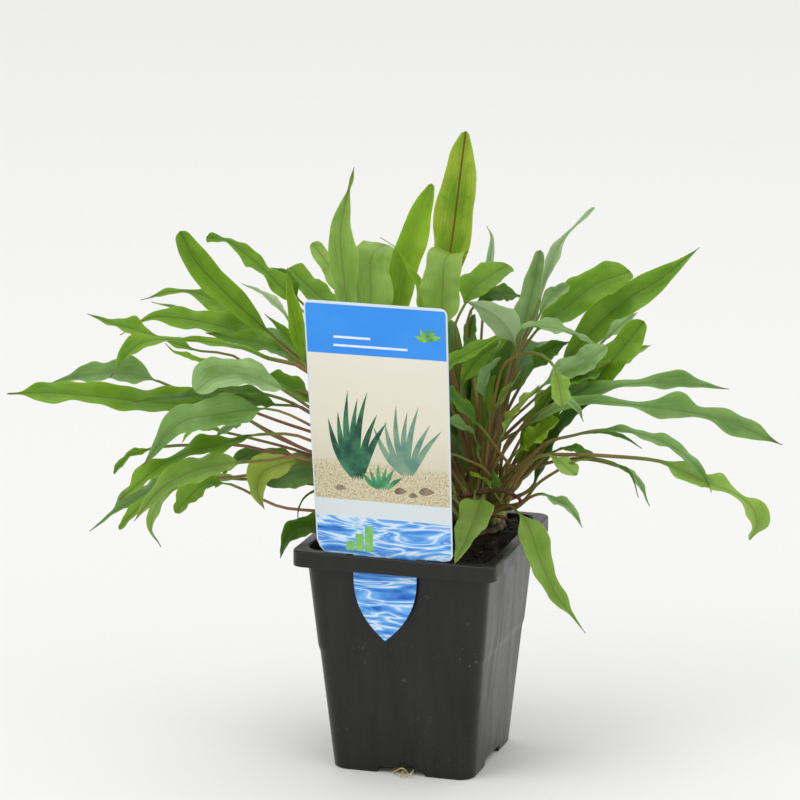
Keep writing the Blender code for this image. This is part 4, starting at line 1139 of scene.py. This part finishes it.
def card_material(look):
    """A printed polystyrene card: smooth ink under a thin gloss, with a pale uncovered edge.

    The print is a blue header, a cream picture with sand at its foot, a pale band, and blue water
    with streaks of white that goes on down the tail. The sand's grain is 0.6 mm, coarser than the
    real print's, so that it shows.
    """
    made, tree, shader, place = new_material("printed polystyrene card")
    z = node(tree, "SeparateXYZ", {"Vector": place}, "Z")
    rim = node(tree, "Attribute", attribute_name="rim", out="Fac")
    cloud = node(tree, "TexNoise", {"Vector": place, "Scale": 36.0, "Detail": 3.0})
    header = coats(tree, tuple(look.header), (cloud, 0.35, 0.7, 0.0, 1.0, "#3b93ec"))
    up = node(tree, "MapRange", {0: z, 1: 140.0 * MM, 2: HEADER_FOOT})
    cream = node(tree, "ValToRGB", {"Fac": up},
                 stops=((0.0, "#d3ccb6"), (0.35, "#dfd9c6"), (1.0, "#e4e0d3")))
    grain = node(tree, "TexNoise",
                 {"Vector": place, "Scale": 1150.0, "Detail": 4.0, "Roughness": 0.75})
    sand = node(tree, "ValToRGB", {"Fac": grain}, stops=(
        (0.34, "#6f6248"), (0.43, "#b5a884"), (0.52, "#d2c8aa"), (0.66, "#e6dfc8")))
    sand = node(tree, "Mix", {0: 0.25, 6: sand, 7: tuple(look.sand)}, 2, data_type="RGBA")
    flow = node(tree, "Mapping",
                {"Vector": place, "Rotation": (0.0, 0.30, 0.0), "Scale": (0.5, 1.0, 2.6)})
    swirl = node(tree, "TexNoise", {"Vector": flow, "Scale": 62.0, "Detail": 3.0, "Roughness": 0.45,
                                    "Distortion": 1.9})
    water = node(tree, "ValToRGB", {"Fac": swirl}, stops=(
        (0.30, "#1f5fb8"), (0.40, "#4a92e0"), (0.47, "#76b5ee"), (0.53, "#dfeaf5"),
        (0.58, "#8cc2f0"), (0.66, "#3a85dc"), (0.74, "#f4f7fb")))
    shore = node(tree, "Math", {0: cloud, 1: 10.0 * MM, 2: z}, operation="MULTIPLY_ADD")
    seam = 0.1 * MM
    colour = coats(
        tree, water,
        (z, WATER_TOP - seam, WATER_TOP + seam, 0.0, 1.0, "#d5dde0"),
        (z, SAND_FOOT - seam, SAND_FOOT + seam, 0.0, 1.0, sand),
        (shore, 143.0 * MM, 146.5 * MM, 0.0, 1.0, cream),
        (z, HEADER_FOOT - seam, HEADER_FOOT + seam, 0.0, 1.0, header),
        (rim, 0.4, 0.6, 0.0, 1.0, "#d3dfea"))
    normal = node(tree, "Bump", {"Height": cloud, "Distance": 0.05 * MM})
    fill(tree, shader, {"Base Color": colour, "Roughness": 0.32, "Normal": normal, "IOR": 1.55,
                        "Specular IOR Level": 0.25})
    return made


def ink_material(name, first, second):
    """Printing ink in two tones that blend in 3 mm patches."""
    made, tree, shader, place = new_material("printing ink " + name)
    patch = node(tree, "TexNoise", {"Vector": place, "Scale": 170.0, "Detail": 4.0})
    colour = coats(tree, first, (patch, 0.38, 0.62, 0.0, 1.0, second))
    fill(tree, shader, {"Base Color": colour, "Roughness": 0.35, "Specular IOR Level": 0.25})
    return made


def strand(name, line, thickness, ease, made, around, flatness=1.0):
    """A thin strand along a smooth line: its radius is half the thickness times the ease."""
    rings = tube_rings(smooth_line(line, len(ease)), thickness / 2.0 * ease, around, flatness)
    return settle(loft(name, rings), made, "leaf_sheath")


def flat_leaf(start, end, width, steps=12):
    """A printed leaf: the outline between two points, as wide as a sine of the length."""
    start, end = np.array(start), np.array(end)
    along = end - start
    length = np.linalg.norm(along)
    across = np.array((-along[1], along[0])) / length
    share = np.linspace(0.0, 1.0, steps)[:, None]
    half = width / 2.0 * np.sin(pi * share**0.8) + 0.02
    line = start + along * share + across * (0.06 * length * np.sin(pi * share))
    return np.concatenate([line - across * half, (line + across * half)[::-1]])


def printed_piece(name, shapes, made, lift):
    """Flat printed shapes, in millimetres across and up the card, each a thin slab on its front.

    Each shape stands a little further out than the one before, so that none lie in one plane.
    """
    surface = CARD_Y - CARD_THICKNESS / 2.0
    points, corners, sizes = [], [], []
    base = 0
    for layer, shape in enumerate(shapes):
        count = len(shape)
        for y in (surface - lift - layer * 0.002 * MM, surface + 0.05 * MM):
            points.append(np.stack([CARD_X + shape[:, 0] * MM, np.full(count, y), shape[:, 1] * MM],
                                   axis=1))
        ring = base + np.arange(count)
        after = base + (np.arange(count) + 1) % count
        walls = np.stack([ring, ring + count, after + count, after], axis=1)
        corners += [ring, ring[::-1] + count, walls.ravel()]
        sizes += [count, count] + [4] * count
        base += 2 * count
    piece = mesh_object(name, np.concatenate(points), np.concatenate(corners), sizes)
    piece.data.polygons.foreach_set("use_smooth", np.zeros(len(sizes), dtype=bool))
    return settle(piece, made, "label_card")


def block(x, z, wide, tall):
    """A printed oblong by its lower left corner and its size."""
    return np.array(((x, z), (x + wide, z), (x + wide, z + tall), (x, z + tall)))


def reed_bed(foot_x, foot_z, spread, tall, count, width):
    """A printed clump: long narrow leaves that fan out from one foot, the middle ones tallest."""
    reeds = []
    for index, turn in enumerate(np.linspace(-1.0, 1.0, count)):
        height = tall * (1.0 - 0.35 * turn * turn - 0.12 * (index % 2))
        tip = (foot_x + spread * turn, foot_z + height)
        reeds.append(flat_leaf((foot_x + turn * 2.0, foot_z), tip, width))
    return reeds


class StudioSettings(bpy.types.PropertyGroup):
    paper: bpy.props.FloatVectorProperty(
        name="Paper", description="Colour of the paper floor", default=linear("#aeaeab"), **COLOUR)
    # Painted light: the paper floor glows, as if lit through from behind.
    painted_glow: bpy.props.FloatProperty(
        name="Glow", description="Light that the lit-through paper gives off", default=0.46,
        min=0.0)
    room: bpy.props.FloatProperty(
        name="Room light", description="Brightness of the room's even light", default=0.85, min=0.0)
    key: bpy.props.FloatProperty(
        name="Key light", description="Power of the large soft light from the front left",
        default=14.0, min=0.0, unit="POWER")
    fill: bpy.props.FloatProperty(
        name="Fill light", description="Power of the weak soft light from the right", default=7.5,
        min=0.0, unit="POWER")


class PLANT_OT_leaves(bpy.types.Operator):
    """Grow the leaves of the solid model and the small leaves between them"""
    bl_idname = "plant.leaves"
    bl_label = "Leaves"

    def execute(self, context):
        look = context.scene.water_trumpet_leaf
        skins = {name: leaf_material("living leaf " + name, tone) for name, tone in TONES.items()}
        # What each kind is called, where it stands, and its first number in the run of the waves.
        kinds = (("leaf_blade", LEAVES, crown_feet(), 0),
                 ("small_leaf", SMALL_LEAVES, small_feet(), len(LEAVES)),
                 ("young_leaf", *young_leaves(look.young), 100))
        for kind, leaves, feet, first in kinds:
            for index, leaf in enumerate(leaves):
                rings, numbers = leaf_surface(leaf, feet[index], first + index, look)
                blade = loft("%s_%02d" % (kind, index + 1), rings, numbers)
                solids = ["leaf_%02d" % (index + 1)] if leaves is LEAVES else []
                settle(blade, skins[leaf.tone], "leaf", *solids)
        return {"FINISHED"}


class PLANT_OT_crown(bpy.types.Operator):
    """Shape the crown of packed leaf sheaths, with young sheaths and two old stalks"""
    bl_idname = "plant.crown"
    bl_label = "Crown"

    def execute(self, context):
        look = context.scene.water_trumpet_leaf
        settle(loft("sheath_crown", crown_rings()), crown_material(), "leaf_sheath", "crown")
        # Two old stalks lie across the sheaths, and young sheaths stand between the leaves.
        old = strand_material("withered leaf stalk", "#6a3f26", "#3a2415", 2.0 * MM)
        share = np.linspace(0.0, 1.0, 40)
        ends = np.sqrt(np.clip(np.minimum(share, 1.0 - share) * 40.0, 0.05, 1.0))
        for number, line in enumerate(OLD_STALKS):
            strand("old_stalk_%d" % (number + 1), np.array(line) * MM, OLD_STALK,
                   (1.0 - 0.3 * share) * ends, old, 12)
        fresh = strand_material("young leaf sheath", "#a8ad62", "#7c8a3c", 2.5 * MM)
        dice = np.random.default_rng(19)
        share = np.linspace(0.0, 1.0, 24)
        for number in range(look.sheaths):
            turn = radians(137.5 * number + 20.0)
            reach = CROWN_RADIUS * (0.55 + 0.38 * dice.uniform())
            foot = np.array((CROWN_X + reach * cos(turn), CROWN_Y + reach * sin(turn),
                             float(crown_height(reach)) - 0.4 * MM))
            out = np.array((cos(turn), sin(turn), 0.0)) * dice.uniform(0.15, 0.6)
            tall = dice.uniform(13.0, 24.0) * MM
            line = [foot + (out * lean + (0.0, 0.0, rise)) * tall
                    for lean, rise in ((0.0, 0.0), (0.25, 0.4), (0.6, 0.8), (1.0, 1.15))]
            strand("young_sheath_%02d" % (number + 1), line, YOUNG_SHEATH,
                   np.sqrt(np.clip(1.0 - share**1.6, 0.02, 1.0)), fresh, 10, 0.6)
        return {"FINISHED"}


class PLANT_OT_peat(bpy.types.Operator):
    """Fill the pot with peat and strew loose crumbs on it"""
    bl_idname = "plant.peat"
    bl_label = "Peat"

    def execute(self, context):
        look = context.scene.water_trumpet_pot
        made = peat_material(look)
        settle(loft("peat_bed", peat_rings()), made, "soil", "soil")
        settle(mesh_object("peat_crumbs", *crumb_cloud(look.crumbs, look.crumb, 11)), made, "soil")
        return {"FINISHED"}


class PLANT_OT_pot(bpy.types.Operator):
    """Mould the square pot, with the roots that have grown through its notch"""
    bl_idname = "plant.pot"
    bl_label = "Pot"

    def execute(self, context):
        look = context.scene.water_trumpet_pot
        settle(loft("pot_shell", pot_rings()), pot_material(look), "pot_plastic", "pot")
        # Thin roots have grown out through the drain notch at the front.
        root = strand_material("young root", "#d9cf8c", "#a89b58", 1.2 * MM)
        share = np.linspace(0.0, 1.0, 60)
        ends = np.sqrt(np.clip((1.0 - share) * 20.0, 0.05, 1.0))
        for number, line in enumerate(ROOTS):
            strand("root_%d" % (number + 1), np.array(line) * MM, ROOT, (1.0 - 0.5 * share) * ends,
                   root, 10)
        return {"FINISHED"}


class PLANT_OT_card(bpy.types.Operator):
    """Cut and print the plant card"""
    bl_idname = "plant.card"
    bl_label = "Card"

    def execute(self, context):
        look = context.scene.water_trumpet_card
        rings = card_rings()
        left, right = card_halves(rings[..., 2])
        foot = POT_HEIGHT + GAP
        edge = np.minimum(np.minimum(rings[..., 0] - left, right - rings[..., 0]),
                          foot + CARD_HEIGHT - rings[..., 2])
        # The tail is printed right up to its edge.
        rim = (edge < look.border) & (rings[..., 2] >= foot)
        settle(loft("printed_card", rings, {"rim": rim}), card_material(look), "label_card",
               "plant_label")
        # A plain print of its own: two clumps of reeds, a tuft, stones, lines, a leaf fan and bars.
        stones = [flat_leaf((x, z), (x + wide, z + 0.3), wide * 0.5) for x, z, wide in
                  ((4.0, 129.0, 6.0), (10.5, 127.6, 4.2), (15.0, 129.6, 7.0), (-22.0, 128.6, 5.0))]
        fan = [flat_leaf((19.0, 195.0), (19.0 + 6.2 * cos(turn), 195.0 + 6.2 * sin(turn)), 2.0)
               for turn in np.radians((20.0, 55.0, 90.0, 125.0, 160.0))]
        lines = [block(-22.5, 190.2, 32.5, 1.0), block(-22.5, 193.8, 16.25, 1.0)]
        bars = [block(x, 101.8, 3.6, high)
                for x, high in ((-17.0, 4.0), (-12.9, 7.5), (-8.8, 11.0))]
        far = reed_bed(10.0, 136.0, 15.0, 32.0, 7, 2.6)
        near = reed_bed(-12.0, 133.0, 13.0, 40.0, 7, 3.0)
        tuft = reed_bed(-1.0, 129.5, 9.0, 11.0, 6, 1.9)
        # Each piece with its shapes, how far it stands out in millimetres, and its ink.
        prints = (("far_reeds", far, 0.02, "grey green", "#5f8a78", "#7f9f86"),
                  ("near_reeds", near, 0.04, "deep green", "#1f4a3a", "#3f7d58"),
                  ("tuft", tuft, 0.06, "leaf green", "#2f7a4c", "#56a070"),
                  ("stones", stones, 0.02, "stone brown", "#6d5a48", "#94836b"),
                  ("lines", lines, 0.02, "pale blue", "#cfe2f4", "#e4eef8"),
                  ("fan", fan, 0.02, "fan green", "#2f8a5a", "#8fc43c"),
                  ("bars", bars, 0.02, "bar green", "#6fb558", "#93c97a"))
        for name, shapes, lift, ink, first, second in prints:
            printed_piece("printed_" + name, shapes, ink_material(ink, first, second), lift * MM)
        return {"FINISHED"}


def stand(context, name, data, target, offset):
    """Stands a camera or lamp at an offset from its target, which it looks back at."""
    made = bpy.data.objects.new(name, data)
    made.location = target + offset
    made.rotation_euler = Vector(offset).to_track_quat("Z", "Y").to_euler()
    context.scene.collection.objects.link(made)
    return made


class PLANT_OT_studio(bpy.types.Operator):
    """Lay the paper floor and set up the soft lights and the camera"""
    bl_idname = "plant.studio"
    bl_label = "Studio"

    def execute(self, context):
        look = context.scene.water_trumpet_studio
        # A flat disc, so wide that its edge is outside the photograph: radii times circles.
        reach = np.array((FLOOR_REACH, 4.0, 2.0, 1.0, 0.5, 0.25, 0.1, 0.0005))[:, None]
        around = np.linspace(0.0, 2.0 * pi, 96, endpoint=False)[None]
        points = np.stack([reach * np.cos(around), reach * np.sin(around), 0.0 * reach * around],
                          axis=-1)
        corners, sizes = grid_faces(*points.shape[:2])
        # The face on the first ring, which is the disc's edge, is left out.
        edge = slice(-2 * around.size, -around.size)
        paper = mesh_object("paper_floor", points.reshape(-1, 3), np.delete(corners, edge),
                            sizes[:-1])
        made, tree, shader, place = new_material("matt background paper")
        # The paper glows as painted light, as if lit through from behind, and the glowing fades out
        # under and close round the pot as a painted contact shadow; there its own colour is paler.
        away = node(tree, "VectorMath", {0: place}, "Value", operation="LENGTH")
        lit = node(tree, "MapRange", {0: away, 1: 30.0 * MM, 2: 230.0 * MM},
                   interpolation_type="SMOOTHSTEP")
        colour = node(tree, "Mix", {0: lit, 6: "#ececea", 7: tuple(look.paper)}, 2,
                      data_type="RGBA")
        painted_glow = node(tree, "Math", {0: lit, 1: look.painted_glow}, operation="MULTIPLY")
        fill(tree, shader, {"Base Color": colour, "Roughness": 0.9, "Specular IOR Level": 0.2,
                            "Emission Color": "#f6f8f8", "Emission Strength": painted_glow})
        paper.data.materials.append(made)

        context.scene.view_settings.view_transform = "Standard"
        world = bpy.data.worlds.new("bright room")
        world.use_nodes = True
        tree = world.node_tree
        fill(tree, tree.nodes["Background"], {"Color": "#ffffff", "Strength": look.room})
        context.scene.world = world

        rise, turn = radians(CAMERA_RISE), radians(CAMERA_TURN)
        back = np.array((sin(turn) * cos(rise), -cos(turn) * cos(rise), sin(rise)))
        right = np.array((cos(turn), sin(turn), 0.0))
        target = right * CAMERA_SHIFT_X + np.array((0.0, 0.0, CAMERA_AIM))
        upward = np.cross(back, right)
        # Each lamp's name, power, size and place about the camera's target.
        lights = (("key_light", look.key, 1.3, back * 1.2 - right * 1.3 + upward * 1.4),
                  ("fill_light", look.fill, 1.6, back * 1.0 + right * 1.7 + upward * 0.5),
                  ("top_light", look.key * 0.5, 1.4, upward * 1.9 - back * 0.2))
        for name, power, size, offset in lights:
            lamp = bpy.data.lights.new(name, "AREA")
            lamp.energy = power
            lamp.size = size
            stand(context, name, lamp, target, offset)
        camera = bpy.data.cameras.new("photograph_camera")
        camera.lens = CAMERA_LENS
        camera.sensor_width = 36.0
        camera.clip_end = 20.0
        context.scene.camera = stand(context, "photograph_camera", camera, target,
                                     back * CAMERA_DISTANCE)
        return {"FINISHED"}


class PLANT_PT_panel(bpy.types.Panel):
    """The plant's sizes and colours, and the steps that build it"""
    bl_idname = "PLANT_PT_panel"
    bl_label = "Water trumpet"
    bl_space_type = "VIEW_3D"
    bl_region_type = "UI"
    bl_category = "Water trumpet"

    def draw(self, context):
        layout = self.layout
        for title, settings, steps in GROUPS:
            box = layout.box()
            box.label(text=title)
            look = getattr(context.scene, settings)
            for name in look.__annotations__:
                box.prop(look, name)
            for operator in steps:
                box.operator(operator.bl_idname)


GROUPS = (
    ("Plant", "water_trumpet_leaf", (PLANT_OT_leaves, PLANT_OT_crown)),
    ("Pot and peat", "water_trumpet_pot", (PLANT_OT_peat, PLANT_OT_pot)),
    ("Card", "water_trumpet_card", (PLANT_OT_card,)),
    ("Studio", "water_trumpet_studio", (PLANT_OT_studio,)),
)
SETTINGS = {
    "water_trumpet_leaf": LeafSettings,
    "water_trumpet_pot": PotSettings,
    "water_trumpet_card": CardSettings,
    "water_trumpet_studio": StudioSettings,
}
CLASSES = (*SETTINGS.values(), *[operator for group in GROUPS for operator in group[2]],
           PLANT_PT_panel)


def register():
    for made in CLASSES:
        bpy.utils.register_class(made)
    for name, settings in SETTINGS.items():
        setattr(bpy.types.Scene, name, bpy.props.PointerProperty(type=settings))


def unregister():
    for name in SETTINGS:
        delattr(bpy.types.Scene, name)
    for made in reversed(CLASSES):
        bpy.utils.unregister_class(made)


def main():
    register()
    for steps in [group[2] for group in GROUPS]:
        for operator in steps:
            section, name = operator.bl_idname.split(".")
            if getattr(getattr(bpy.ops, section), name)() != {"FINISHED"}:
                raise RuntimeError(operator.bl_label + " did not finish")


if __name__ == "__main__":
    main()
